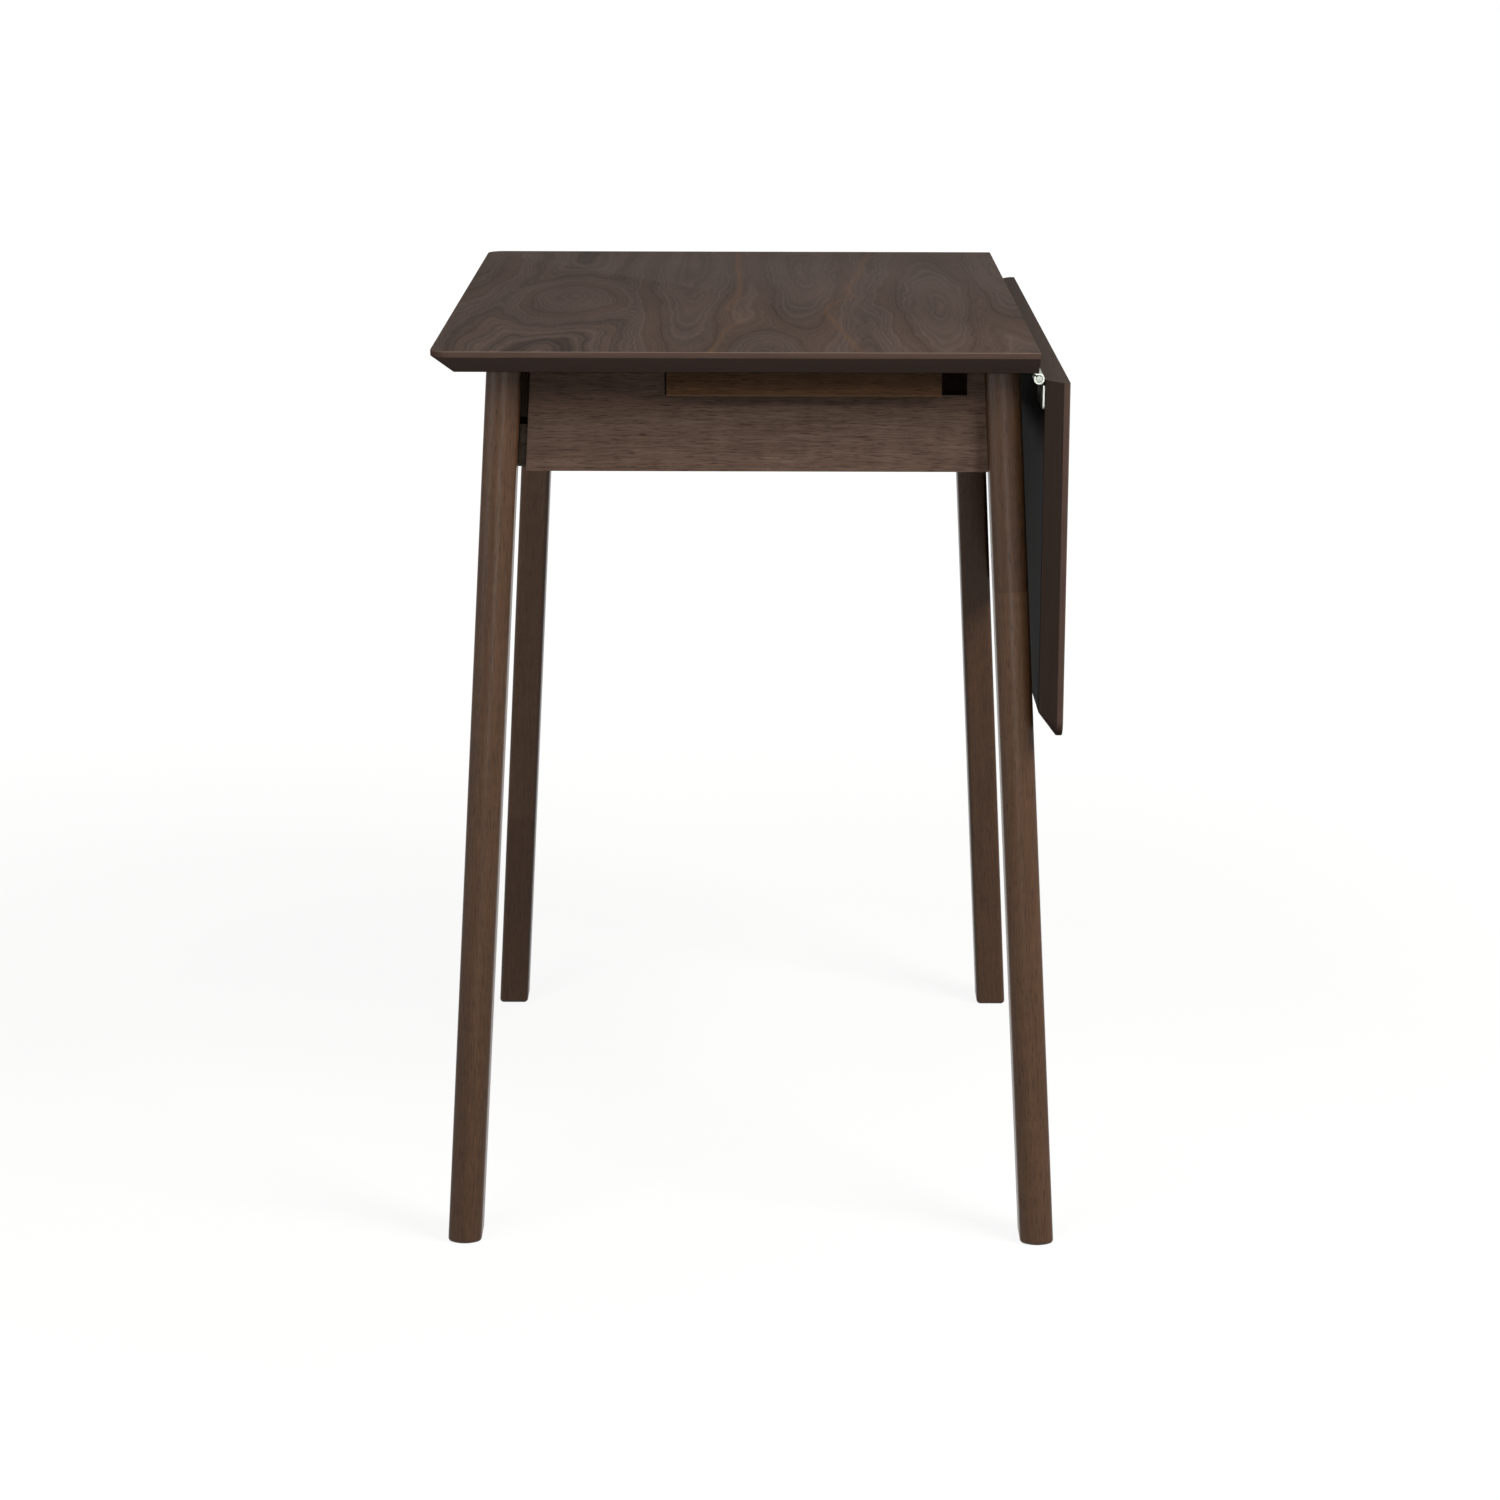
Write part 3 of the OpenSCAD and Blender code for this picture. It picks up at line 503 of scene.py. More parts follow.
def board_paint(name, shades):
    """Thin brown paint on the bevel, almost black on the flat underside, with faint brush marks."""
    material = bpy.data.materials.new(name)
    material.use_nodes = True
    tree = material.node_tree
    tree.nodes.clear()
    coords = add(tree, "ShaderNodeTexCoord")
    spot = add(tree, "ShaderNodeVectorMath",
               {0: coords.outputs["Object"], 1: to_mm, 2: (0, 0, -top_high.z / mm)},
               operation="MULTIPLY_ADD")
    apart = add(tree, "ShaderNodeSeparateXYZ", {0: spot.outputs[0]})
    smear = add(tree, "ShaderNodeMapping",
                {"Vector": spot.outputs[0], "Scale": (1 / brush_l, 1 / brush_l, 1 / brush_w)})
    brush = add(tree, "ShaderNodeTexNoise", {"Vector": smear.outputs[0], "Scale": 1, "Detail": 3})
    brown = add(tree, "ShaderNodeMix",
                {"Factor": brush.outputs[0], 6: colour(shades[0]), 7: colour(shades[1])}, data_type="RGBA")
    is_under = add(tree, "ShaderNodeMath", {0: apart.outputs["Z"], 1: under_skin - board_t / mm},
                   operation="LESS_THAN")
    skin = add(tree, "ShaderNodeMix",
               {"Factor": is_under.outputs[0], 6: brown.outputs[2], 7: colour(under_paint)},
               data_type="RGBA")
    # The flat underside is smoother than the bevel, and mirrors a little more of what stands beside it
    dull = add(tree, "ShaderNodeMapRange",
               {"Value": is_under.outputs[0], "To Min": bevel_rough, "To Max": under_rough})
    bump = add(tree, "ShaderNodeBump", {"Height": brush.outputs[0], "Strength": 0.04, "Distance": 0.1 * mm})
    shader = add(tree, "ShaderNodeBsdfPrincipled",
                 {"Base Color": skin.outputs[2], "Roughness": dull.outputs[0], "Normal": bump.outputs[0],
                  "IOR": resin_ior, "Specular IOR Level": paint_gloss})
    add(tree, "ShaderNodeOutputMaterial", {"Surface": shader.outputs[0]})
    return material


walnut = walnut_board("walnut_veneer_board")
edge_coat = board_paint("edge_coat", edge_paint)
# How squarely a face has to look along x, or down, to get the paint of the hinge edge or of the bevel
upright = 0.9
downward = -0.3


def finish_board(piece, paint, hinge_side):
    """Veneer and band above, one paint on all that faces down when the board lies level, and another
    on the square hinge edge, which faces hinge_side along x."""
    piece.data.materials.append(walnut)
    piece.data.materials.append(paint)
    piece.data.materials.append(edge_coat)
    for face in piece.data.polygons:
        if face.normal.x * hinge_side > upright:
            face.material_index = 2
        elif face.normal.z < downward:
            face.material_index = 1


pocket_depth = 1.5 * mm
pocket_gap = 0.2 * mm
pocket_from_edge = 2.6 * mm
pockets = []
for plate in ("hinge_near_plate", "hinge_mid_plate", "hinge_far_plate"):
    plate_low, plate_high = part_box(plate)
    pockets.append((plate_low.x - pocket_gap, plate_low.y - pocket_gap,
                    top_high.x - pocket_from_edge, plate_high.y + pocket_gap))
top_board = board("top_board", top_high.x, top_low.x, pockets, pocket_depth)
finish_board(top_board, board_paint("top_paint", lit_bevel_paint), 1)
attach(top_board, "frame")
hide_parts("table_top")


# Drop leaf
# The same board, cut from the same veneer, so its figure runs on from the top when it is raised.
# It is drawn raised, and turned down about the hinge axis to where it hangs.
leaf_low, leaf_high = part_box("drop_leaf")
# The leaf's bevel paint is a darker copy of the top's: painted shade, where the hanging leaf stands beside
# the near right leg
shaded_leaf_paint = ("#3c312c", "#483b35")
axis_low, axis_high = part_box("hinge_pins")
hinge_axis = Vector(((axis_low.x + axis_high.x) / 2, 0, (axis_low.z + axis_high.z) / 2))
quarter_turn = Matrix.Rotation(math.pi / 2, 4, "Y")
hang = Matrix.Translation(hinge_axis) @ quarter_turn @ Matrix.Translation(-hinge_axis)
leaf_hinge_x = hinge_axis.x + hinge_axis.z - leaf_high.z
leaf_free_x = hinge_axis.x + hinge_axis.z - leaf_low.z

leaf_board = board("leaf_board", leaf_hinge_x, leaf_free_x)
finish_board(leaf_board, board_paint("shaded_leaf_paint", shaded_leaf_paint), -1)
leaf_board.matrix_world = hang
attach(leaf_board, "leaf")
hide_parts("drop_leaf")


# Legs
# Four solid rubberwood legs, crowned outside and flat inside, leaning in on both sides. Each is
# finger-jointed from staves, so grain and tone change at a straight line, then stained and lacquered.
leg_w = 28 * mm
leg_depth = 38 * mm
crown_r = 18.5 * mm
outer_r = 5 * mm
inner_r = 4 * mm
foot_r = 3.8 * mm
splay = math.radians(3.08)
crown_steps = 16
corner_turns = 7
foot_turns = 5
same_point = 0.01 * mm
stain_dark = "#332113"
stain_light = "#5f432e"
pore_stain = "#1f150f"
# The legs are polished more than the other boards, which gives them a soft upright highlight
wood_gloss = 0.02
leg_gloss = 0.24
# Sizes in the figure, in millimetres: each pair is across and along the grain
wander_size = (30, 90)
wander_by = 6
wood_pore = (0.7, 10)
stave_shift = (37, 53, 71)
stave_range = 0.36
glue_half = 0.35
lit_wear_full = 0.6
lit_wear_end = 1.4
# How strongly each of these shows over the wood, from 0 to 1
wood_pore_share = 0.6
glue_share = 0.25
lit_wear_share = 0.75
# The lacquer is duller over dark wood than over light
lacquer_rough = (0.37, 0.31)


def leg_outline(inset):
    """The section of a leg in its own frame, from its crown at y = 0 to its flat face. It is drawn
    smaller by inset."""
    reach = leg_w / 2 - outer_r
    centre_y = crown_r - math.sqrt((crown_r - outer_r) ** 2 - reach ** 2)
    slant = math.asin(reach / (crown_r - outer_r))
    arcs = [(-reach, centre_y, outer_r, -math.pi / 2, -slant, corner_turns),
            (0, crown_r, crown_r, -slant, slant, crown_steps),
            (reach, centre_y, outer_r, slant, math.pi / 2, corner_turns),
            (leg_w / 2 - inner_r, leg_depth - inner_r, inner_r, math.pi / 2, math.pi, corner_turns),
            (inner_r - leg_w / 2, leg_depth - inner_r, inner_r, math.pi, math.pi * 1.5, corner_turns)]
    points = []
    for x, y, r, first, last, steps in arcs:
        for i in range(steps + 1):
            turn = first + (last - first) * i / steps
            point = (x + (r - inset) * math.sin(turn), y - (r - inset) * math.cos(turn))
            if not points or math.dist(point, points[-1]) > same_point:
                points.append(point)
    return points


def grain_scale(along, across_mm, along_mm):
    """The scale that gives a pattern features of these sizes across the grain and along it."""
    scale = [1 / across_mm] * 3
    scale[along] = 1 / along_mm
    return scale


def rubberwood(name, along, start, dark=stain_dark, light=stain_light, staves=(), lit_wear=None,
               gloss=wood_gloss):
    """Rubberwood, stained and lacquered: long fibres, short open pores and slow changes of tone.
    along is the axis of the grain, start moves the figure, and staves are the heights of finger joints.
    The argument after staves, when given, is the height of a lower arris in millimetres and a lighter
    colour drawn along it: a painted highlight, and stain rubbed thin.
    gloss is the strength of the lacquer's shine."""
    material = bpy.data.materials.new(name)
    material.use_nodes = True
    tree = material.node_tree
    tree.nodes.clear()
    coords = add(tree, "ShaderNodeTexCoord")
    spot = add(tree, "ShaderNodeVectorMath", {0: coords.outputs["Object"], 1: to_mm},
               operation="MULTIPLY").outputs[0]
    apart = add(tree, "ShaderNodeSeparateXYZ", {0: spot})
    stave = add(tree, "ShaderNodeValue").outputs[0]
    stave.default_value = start
    seam = None
    for height in staves:
        above = add(tree, "ShaderNodeMath", {0: apart.outputs[along], 1: height}, operation="GREATER_THAN")
        stave = add(tree, "ShaderNodeMath", {0: above.outputs[0], 1: stave}, operation="ADD").outputs[0]
        glue = add(tree, "ShaderNodeMath", {0: apart.outputs[along], 1: height, 2: glue_half},
                   operation="COMPARE")
        if seam is None:
            seam = glue.outputs[0]
        else:
            seam = add(tree, "ShaderNodeMath", {0: seam, 1: glue.outputs[0]},
                       operation="MAXIMUM").outputs[0]
    moved = add(tree, "ShaderNodeVectorMath", {0: stave, 1: stave_shift, 2: spot},
                operation="MULTIPLY_ADD").outputs[0]

    # The fibres wander a millimetre or two from the straight
    slow = add(tree, "ShaderNodeMapping", {"Vector": moved, "Scale": grain_scale(along, *wander_size)})
    wander = add(tree, "ShaderNodeTexNoise", {"Vector": slow.outputs[0], "Scale": 1, "Detail": 1})
    wander = add(tree, "ShaderNodeVectorMath",
                 {0: wander.outputs["Color"], 1: [wander_by] * 3, 2: moved},
                 operation="MULTIPLY_ADD").outputs[0]
    # Slow bands, fibre bundles and single fibres along the grain, and faint bars across it
    figures = ((9, 140, 0.4), (2.4, 60, 0.45), (0.7, 22, 0.95), (45, 12, 0.3))
    tone = 0.5
    for across_mm, along_mm, weight in figures:
        thread = add(tree, "ShaderNodeMapping",
                     {"Vector": wander, "Scale": grain_scale(along, across_mm, along_mm)})
        noise = add(tree, "ShaderNodeTexNoise", {"Vector": thread.outputs[0], "Scale": 1, "Detail": 2})
        share = add(tree, "ShaderNodeMath", {0: noise.outputs[0], 1: -0.5}, operation="ADD")
        tone = add(tree, "ShaderNodeMath", {0: share.outputs[0], 1: weight, 2: tone},
                   operation="MULTIPLY_ADD").outputs[0]
    piece_tone = add(tree, "ShaderNodeTexWhiteNoise", {"W": stave}, noise_dimensions="1D")
    tone = add(tree, "ShaderNodeMath", {0: piece_tone.outputs["Value"], 1: stave_range, 2: tone},
               operation="MULTIPLY_ADD")
    tone = add(tree, "ShaderNodeMath", {0: tone.outputs[0], 1: stave_range / 2},
               operation="SUBTRACT").outputs[0]
    wood = add(tree, "ShaderNodeMix", {"Factor": tone, 6: colour(dark), 7: colour(light)},
               data_type="RGBA", clamp_factor=True).outputs[2]

    # Real pores are 0.3 mm wide; they are drawn 0.7 mm wide, so that they show
    dash = add(tree, "ShaderNodeMapping", {"Vector": wander, "Scale": grain_scale(along, *wood_pore)})
    pore = add(tree, "ShaderNodeTexNoise", {"Vector": dash.outputs[0], "Scale": 1, "Detail": 1})
    pore = add(tree, "ShaderNodeMapRange",
               {"Value": pore.outputs[0], "From Min": 0.56, "From Max": 0.72,
                "To Min": 0, "To Max": wood_pore_share}).outputs[0]
    wood = add(tree, "ShaderNodeMix", {"Factor": pore, 6: wood, 7: colour(pore_stain)},
               data_type="RGBA").outputs[2]
    if seam is not None:
        line = add(tree, "ShaderNodeMath", {0: seam, 1: glue_share}, operation="MULTIPLY")
        wood = add(tree, "ShaderNodeMix", {"Factor": line.outputs[0], 6: wood, 7: colour(pore_stain)},
                   data_type="RGBA").outputs[2]
    # The lower arris is drawn lighter: a painted highlight, and stain rubbed thin
    if lit_wear is not None:
        low = add(tree, "ShaderNodeMapRange",
                  {"Value": apart.outputs["Z"], "From Min": lit_wear[0] + lit_wear_end,
                   "From Max": lit_wear[0] + lit_wear_full, "To Min": 0, "To Max": lit_wear_share})
        wood = add(tree, "ShaderNodeMix", {"Factor": low.outputs[0], 6: wood, 7: colour(lit_wear[1])},
                   data_type="RGBA").outputs[2]
    relief = add(tree, "ShaderNodeMath", {0: pore, 1: -1, 2: tone}, operation="MULTIPLY_ADD")
    bump = add(tree, "ShaderNodeBump",
               {"Height": relief.outputs[0], "Strength": 0.25, "Distance": 0.15 * mm})
    dull = add(tree, "ShaderNodeMapRange",
               {"Value": tone, "From Min": 0.2, "From Max": 0.8,
                "To Min": lacquer_rough[0], "To Max": lacquer_rough[1]})
    shader = add(tree, "ShaderNodeBsdfPrincipled",
                 {"Base Color": wood, "Roughness": dull.outputs[0], "Normal": bump.outputs[0],
                  "IOR": resin_ior, "Specular IOR Level": gloss})
    add(tree, "ShaderNodeOutputMaterial", {"Surface": shader.outputs[0]})
    return material


def leg(name, side, end, start, staves):
    """One leg: side is -1 on the left and 1 on the right, end is -1 near and 1 far. start moves the
    figure of its wood, and staves are the heights of its finger joints in millimetres."""
    low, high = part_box(name)
    foot_x = (high.x if side > 0 else low.x) - side * leg_w / 2
    foot_y = high.y if end > 0 else low.y
    lean = Matrix.Rotation(-side * splay, 3, "Y") @ Matrix.Rotation(end * splay, 3, "X")
    place = Matrix.Translation((foot_x, foot_y, 0)) @ lean.to_4x4()
    axis = lean @ Vector((0, 0, 1))
    levels = []
    for i in range(foot_turns + 1):
        turn = math.pi / 2 * i / foot_turns
        levels.append((foot_r * (1 - math.sin(turn)), foot_r * (1 - math.cos(turn))))
    levels += [(0, high.z - arris), (arris, high.z)]
    rings = []
    for inset, z in levels:
        ring = []
        for x, y in leg_outline(inset):
            flat = Vector((x, -end * y, 0))
            ring.append((flat.x, flat.y, (z - (lean @ flat).z) / axis.z))
        rings.append(ring)
    piece = loft(name + "_stick", rings)
    piece.matrix_world = place
    wood = rubberwood(name + "_rubberwood", 2, start, staves=staves, gloss=leg_gloss)
    piece.data.materials.append(wood)
    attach(piece, "frame")
    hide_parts(name)


leg("leg_near_left", -1, -1, 34, (621,))
leg("leg_near_right", 1, -1, 77, (109, 553))
leg("leg_far_left", -1, 1, 4, (196,))
leg("leg_far_right", 1, 1, 48, (106,))


# Aprons
# Four planed rubberwood boards that join the legs under the top, each with its grain lying along it.
# The end boards and the one beside the leaf are notched above for the swing bars.
apron_ease = 0.8 * mm
ease_angle = math.radians(40)
apron_dark = "#413128"
apron_light = "#776255"


def eased(name, width, material):
    """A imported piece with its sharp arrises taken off, as a sander leaves them, and its finish."""
    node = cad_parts[name]
    weld = node.modifiers.new("joined", "WELD")
    weld.merge_threshold = same_point
    bevel = node.modifiers.new("eased", "BEVEL")
    bevel.width = width
    bevel.segments = 3
    bevel.limit_method = "ANGLE"
    bevel.angle_limit = ease_angle
    bevel.harden_normals = True
    for holder in node.material_slots:
        holder.material = material


for name, along, start in (("apron_near", 0, 41), ("apron_far", 0, 47), ("apron_left", 1, 53),
                           ("apron_right", 1, 59)):
    eased(name, apron_ease, rubberwood(name + "_rubberwood", along, start, apron_dark, apron_light))


# Cross rails
# Two plain rubberwood boards dowelled between the side aprons, which keep the frame from racking and
# carry nothing else. Their stain is a shade darker than that of the aprons.
rail_dark = "#3d2f25"
rail_light = "#604d3f"
for name, start in (("cross_rail_near", 43), ("cross_rail_far", 45)):
    eased(name, apron_ease, rubberwood(name + "_rubberwood", 0, start, rail_dark, rail_light))


# Corner blocks
# Four short rubberwood blocks behind the ends of the end aprons, bored for the frame bolts.
# They are drawn paler than the boards: painted light, which brightens them where they stand in shade behind
# the aprons.
lit_block_dark = "#5c4e43"
lit_block_light = "#8d7b6d"
for name, start in (("block_near_left", 61), ("block_near_right", 62), ("block_far_left", 63),
                    ("block_far_right", 64)):
    eased(name, apron_ease, rubberwood(name + "_rubberwood", 0, start, lit_block_dark, lit_block_light))


# Swing bars
# Four rubberwood bars hung from the top in the notches of the aprons. Their stain is thinner and
# more yellow. Along the lower arris they are drawn lighter: a painted highlight of the lit arris, and
# stain rubbed through where a hand pulls them out.
bar_dark = "#3c2a1b"
bar_light = "#694c33"
lit_bare_arris = "#8a6d52"
bar_ease = 0.3 * mm
bars = (("bar_near", 0, 71), ("bar_far", 0, 73), ("leaf_bar_near", 1, 79), ("leaf_bar_far", 1, 83))
for name, along, start in bars:
    lit_wear = (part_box(name)[0].z / mm, lit_bare_arris)
    eased(name, bar_ease, rubberwood(name + "_rubberwood", along, start, bar_dark, bar_light, lit_wear=lit_wear))


# Hinges
# Three butt hinges of bright zinc-plated strip. Each half is a flat plate with three countersunk
# holes, whose tabs are rolled round the pin, so the barrel shows a spiral at its ends. One plate is
# let into the top, and the other lies on the inner face of the leaf. The ends of the strip are drawn
# brighter and the rest darker: a painted glint on the ends and painted shade on the body.
plate_low, plate_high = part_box("hinge_mid_plate")
hinge_l = plate_high.y - plate_low.y
plate_w = hinge_axis.x - plate_low.x
under_z = top_low.z
plate_t = 1.5 * mm
barrel_r = 4.5 * mm
roll_in = 0.45 * mm
roll_turn = math.radians(305)
bend_r = 0.6 * mm
roll_steps = 40
run_gap = 0.2 * mm
knuckles = 5
knuckle_l = (hinge_l - (knuckles - 1) * run_gap) / knuckles
plate_knuckles = (0, 2, 4)
flap_knuckles = (1, 3)
plate_corner_r = 3 * mm
plate_corner_steps = 6
plate_soft = 0.2 * mm
# How far out the bend of a tab lies on its outer and inner line, as a share of where the tab starts
outer_bend = 0.66
inner_bend = 0.76
# How squarely a face has to look along y to get the painted glint of the strip's ends
glint_facing = 0.7
hinge_from_end = 19 * mm
pin_ease = 0.5 * mm
screw_ease = 0.1 * mm
screw_from_free = 9.8 * mm
screw_from_end = 11 * mm
hole_r = 1.7 * mm
sink_r = 3.3 * mm
hole_steps = 24
# The strip is drawn darker than bright plating and its ends brighter: painted shade on the body, a painted
# glint on the ends
shaded_steel_dark = "#5c605a"
shaded_steel_light = "#83877f"
glint_dark = "#a3a79f"
glint_light = "#ccd0c8"
pin_dark = "#70746e"
pin_light = "#969a93"
steel_rough = 0.34
glint_rough = 0.4
pin_rough = 0.3
rough_spread = 0.06
# The width of clouds in the plating, and the rolling marks across and along the strip, in millimetres
cloud_w = 5
mark_size = (0.35, 12)


def plated_metal(name, dark, light, dull):
    """Plated steel, or brass: a metal with faint clouds and rolling marks along y. dull is its roughness,
    which the clouds make a little uneven."""
    material = bpy.data.materials.new(name)
    material.use_nodes = True
    tree = material.node_tree
    tree.nodes.clear()
    coords = add(tree, "ShaderNodeTexCoord")
    spot = add(tree, "ShaderNodeVectorMath", {0: coords.outputs["Object"], 1: to_mm},
               operation="MULTIPLY").outputs[0]
    cloud = add(tree, "ShaderNodeTexNoise", {"Vector": spot, "Scale": 1 / cloud_w, "Detail": 3})
    rolled = add(tree, "ShaderNodeMapping", {"Vector": spot, "Scale": grain_scale(1, *mark_size)})
    marks = add(tree, "ShaderNodeTexNoise", {"Vector": rolled.outputs[0], "Scale": 1, "Detail": 1})
    tone = add(tree, "ShaderNodeMath", {0: cloud.outputs[0], 1: 0.7, 2: 0.15}, operation="MULTIPLY_ADD")
    metal = add(tree, "ShaderNodeMix", {"Factor": tone.outputs[0], 6: colour(dark), 7: colour(light)},
                data_type="RGBA").outputs[2]
    rough = add(tree, "ShaderNodeMapRange",
                {"Value": cloud.outputs[0], "From Min": 0.3, "From Max": 0.7,
                 "To Min": dull - rough_spread, "To Max": dull + rough_spread})
    bump = add(tree, "ShaderNodeBump",
               {"Height": marks.outputs[0], "Strength": 0.1, "Distance": 0.03 * mm})
    shader = add(tree, "ShaderNodeBsdfPrincipled",
                 {"Base Color": metal, "Metallic": 1, "Roughness": rough.outputs[0],
                  "Normal": bump.outputs[0]})
    add(tree, "ShaderNodeOutputMaterial", {"Surface": shader.outputs[0]})
    return material


def plate_faces(body, side, y, low_z, high_z):
    """A flat plate with round free corners and three holes, countersunk from below."""
    near_x = side * (barrel_r + bend_r)
    far_x = side * plate_w
    r = plate_corner_r
    corners = [(near_x, -hinge_l / 2)]
    for centre_y, first in ((r - hinge_l / 2, -math.pi / 2), (hinge_l / 2 - r, 0)):
        for i in range(plate_corner_steps + 1):
            turn = first + math.pi / 2 * i / plate_corner_steps
            corners.append((far_x - side * r * (1 - math.cos(turn)), centre_y + r * math.sin(turn)))
    corners.append((near_x, hinge_l / 2))
    hole_x = side * (plate_w - screw_from_free)
    levels = []
    for z, radius in ((high_z, hole_r), (low_z, sink_r)):
        loops = [[body.verts.new((hinge_axis.x + px, y + py, z)) for px, py in corners]]
        for hole_y in (screw_from_end - hinge_l / 2, 0, hinge_l / 2 - screw_from_end):
            loop = []
            for i in range(hole_steps):
                turn = 2 * math.pi * i / hole_steps
                loop.append(body.verts.new((hinge_axis.x + hole_x + radius * math.cos(turn),
                                            y + hole_y + radius * math.sin(turn), z)))
            loops.append(loop)
        edges = []
        for loop in loops:
            edges += [body.edges.new((loop[i], loop[(i + 1) % len(loop)])) for i in range(len(loop))]
        bmesh.ops.triangle_fill(body, edges=edges, use_beauty=True)
        levels.append(loops)
    for above, below in zip(*levels):
        count = len(above)
        for i in range(count):
            body.faces.new((above[i], above[(i + 1) % count], below[(i + 1) % count], below[i]))


def tab_lines(side, low_z):
    """Outer and inner line of a tab: off its plate, over the top of the pin and once round it."""
    start = side * (barrel_r + bend_r)
    crest = hinge_axis.z + barrel_r + run_gap / 2
    outer = [(start, low_z + plate_t), (start * outer_bend, low_z + plate_t), (start / 2, crest)]
    inner = [(start, low_z), (start * inner_bend, low_z), (start / 2, crest - plate_t)]
    for i in range(roll_steps + 1):
        turn = roll_turn * i / roll_steps
        r = barrel_r - roll_in * turn / (2 * math.pi)
        outer.append((-side * r * math.sin(turn), hinge_axis.z + r * math.cos(turn)))
        r -= plate_t
        inner.append((-side * r * math.sin(turn), hinge_axis.z + r * math.cos(turn)))
    return outer, inner


def rolled_tab(body, lines, low_y):
    """A tab of strip that follows these two lines."""
    rows = []
    for y in (low_y, low_y + knuckle_l):
        rows.append([[body.verts.new((hinge_axis.x + px, y, pz)) for px, pz in line] for line in lines])
    (out_a, in_a), (out_b, in_b) = rows
    last = len(out_a) - 1
    for i in range(last):
        body.faces.new((out_a[i], out_a[i + 1], out_b[i + 1], out_b[i]))
        body.faces.new((in_a[i + 1], in_a[i], in_b[i], in_b[i + 1]))
        body.faces.new((out_a[i + 1], out_a[i], in_a[i], in_a[i + 1]))
        body.faces.new((out_b[i], out_b[i + 1], in_b[i + 1], in_b[i]))
    body.faces.new((out_a[0], out_b[0], in_b[0], in_a[0]))
    body.faces.new((out_b[last], out_a[last], in_a[last], in_b[last]))


def hinge_half(name, y, side, own, rides, place):
    """A plate or flap with its tabs: side is -1 under the top and 1 on the leaf, and own says which of
    the knuckles it has, counted from the near end."""
    mesh = bpy.data.meshes.new(name + "_strip")
    body = bmesh.new()
    low_z = under_z - plate_t if side > 0 else under_z
    plate_faces(body, side, y, low_z, low_z + plate_t)
    for i in own:
        rolled_tab(body, tab_lines(side, low_z), y - hinge_l / 2 + i * (knuckle_l + run_gap))
    bmesh.ops.recalc_face_normals(body, faces=body.faces)
    for face in body.faces:
        face.smooth = True
        # Faces that look along y get the painted glint, the rest the darker steel
        face.material_index = int(abs(face.normal.y) < glint_facing)
    body.to_mesh(mesh)
    body.free()
    mesh.set_sharp_from_angle(angle=sharp_angle)
    piece = bpy.data.objects.new(name + "_strip", mesh)
    bpy.context.scene.collection.objects.link(piece)
    bevel = piece.modifiers.new("eased", "BEVEL")
    bevel.width = plate_soft
    bevel.segments = 2
    bevel.limit_method = "ANGLE"
    bevel.angle_limit = ease_angle
    mesh.materials.append(glint_steel)
    mesh.materials.append(hinge_steel)
    piece.matrix_world = place
    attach(piece, rides)
    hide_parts(name)


hinge_steel = plated_metal("hinge_plating", shaded_steel_dark, shaded_steel_light, steel_rough)
glint_steel = plated_metal("hinge_end_glint", glint_dark, glint_light, glint_rough)
hinge_mid_y = board_d / 2 - hinge_from_end - hinge_l / 2
for spot_name, y in (("near", -hinge_mid_y), ("mid", 0), ("far", hinge_mid_y)):
    hinge_half(f"hinge_{spot_name}_plate", y, -1, plate_knuckles, "frame", Matrix.Identity(4))
    hinge_half(f"hinge_{spot_name}_flap", y, 1, flap_knuckles, "leaf", hang)
pin_steel = plated_metal("pin_steel", pin_dark, pin_light, pin_rough)
eased("hinge_pins", pin_ease, pin_steel)
for name in ("hinge_plate_screws", "hinge_flap_screws"):
    eased(name, screw_ease, pin_steel)


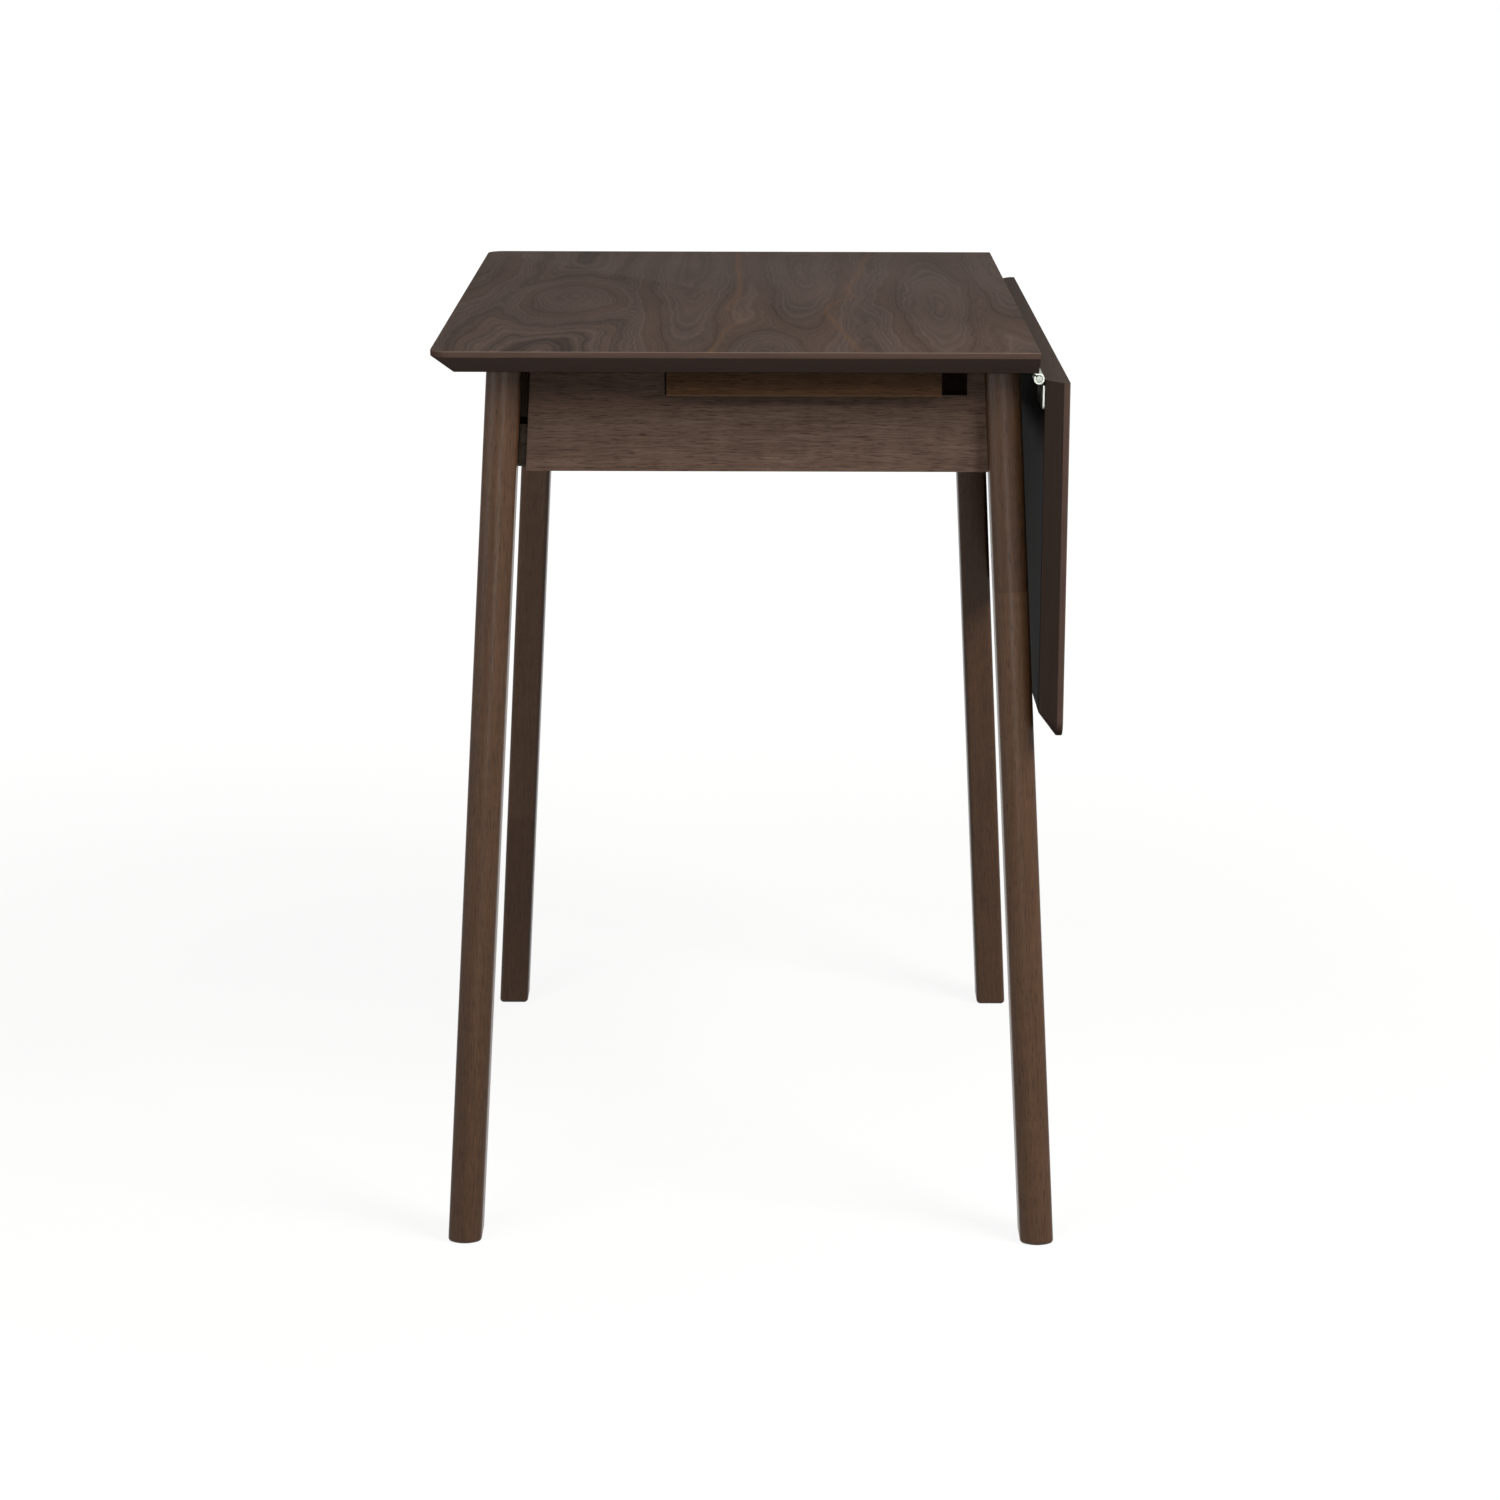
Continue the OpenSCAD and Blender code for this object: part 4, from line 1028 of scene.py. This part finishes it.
# Pivot screws and washers
# Four shouldered steel screws, zinc-plated and driven up into the top, on which the swing bars turn.
# Each has a pressed washer between its head and the bar. Zinc makes both a cool grey, and the washer is
# the brighter one.
zinc_dark = "#85888a"
zinc_light = "#b4b7b6"
screw_dark = "#74777a"
screw_light = "#9b9e9d"
zinc_rough = 0.36
screw_rough = 0.32
pivot_ease = 0.3 * mm
washer_ease = 0.2 * mm
washer_zinc = plated_metal("bright_zinc", zinc_dark, zinc_light, zinc_rough)
screw_zinc = plated_metal("screw_zinc", screw_dark, screw_light, screw_rough)
eased("bar_pivot_screws", pivot_ease, screw_zinc)
eased("bar_washers", washer_ease, washer_zinc)


# Frame bolts
# Zinc-plated bolts with washers, which run from the corner blocks into threaded inserts of turned brass
# in the side aprons and draw the frame together. The bolts are a cool grey, and the brass a dull yellow.
brass_dark = "#8d7136"
brass_light = "#c2a35c"
brass_rough = 0.3
bolt_ease = 0.4 * mm
insert_ease = 0.2 * mm
brass = plated_metal("insert_brass_metal", brass_dark, brass_light, brass_rough)
eased("frame_bolts", bolt_ease, screw_zinc)
eased("frame_bolt_washers", washer_ease, washer_zinc)
eased("frame_inserts", insert_ease, brass)


# Block screws
# Zinc-plated countersunk wood screws, which hold the corner blocks to the end aprons from inside. They
# are driven by machine and left as they come.
eased("block_screws", screw_ease, screw_zinc)


# Angle brackets
# Small brackets of bent steel strip, which hold the top down to the aprons, and their short screws.
# Both are drawn dull black: painted shade, where they sit under the top.
shade_black_dark = "#1d1c1b"
shade_black_light = "#2d2c2a"
black_rough = 0.5
bracket_ease = 0.1 * mm
shade_black_plate = plated_metal("bracket_shade_black", shade_black_dark, shade_black_light, black_rough)
eased("top_brackets", bracket_ease, shade_black_plate)
eased("bracket_screws", screw_ease, shade_black_plate)


# Dowels
# Turned beech dowels, glued into legs and side aprons and into the ends of the cross rails. They are
# bare wood, so they are much paler than what they join.
beech_dark = "#9a774e"
beech_light = "#c4a176"
dowel_ease = 0.8 * mm
# Beech has short pores and straight fibres much like those of rubberwood, in paler colours
for name, along, start in (("leg_dowels", 1, 91), ("rail_dowels", 0, 97)):
    eased(name, dowel_ease, rubberwood(name + "_beech", along, start, beech_dark, beech_light))
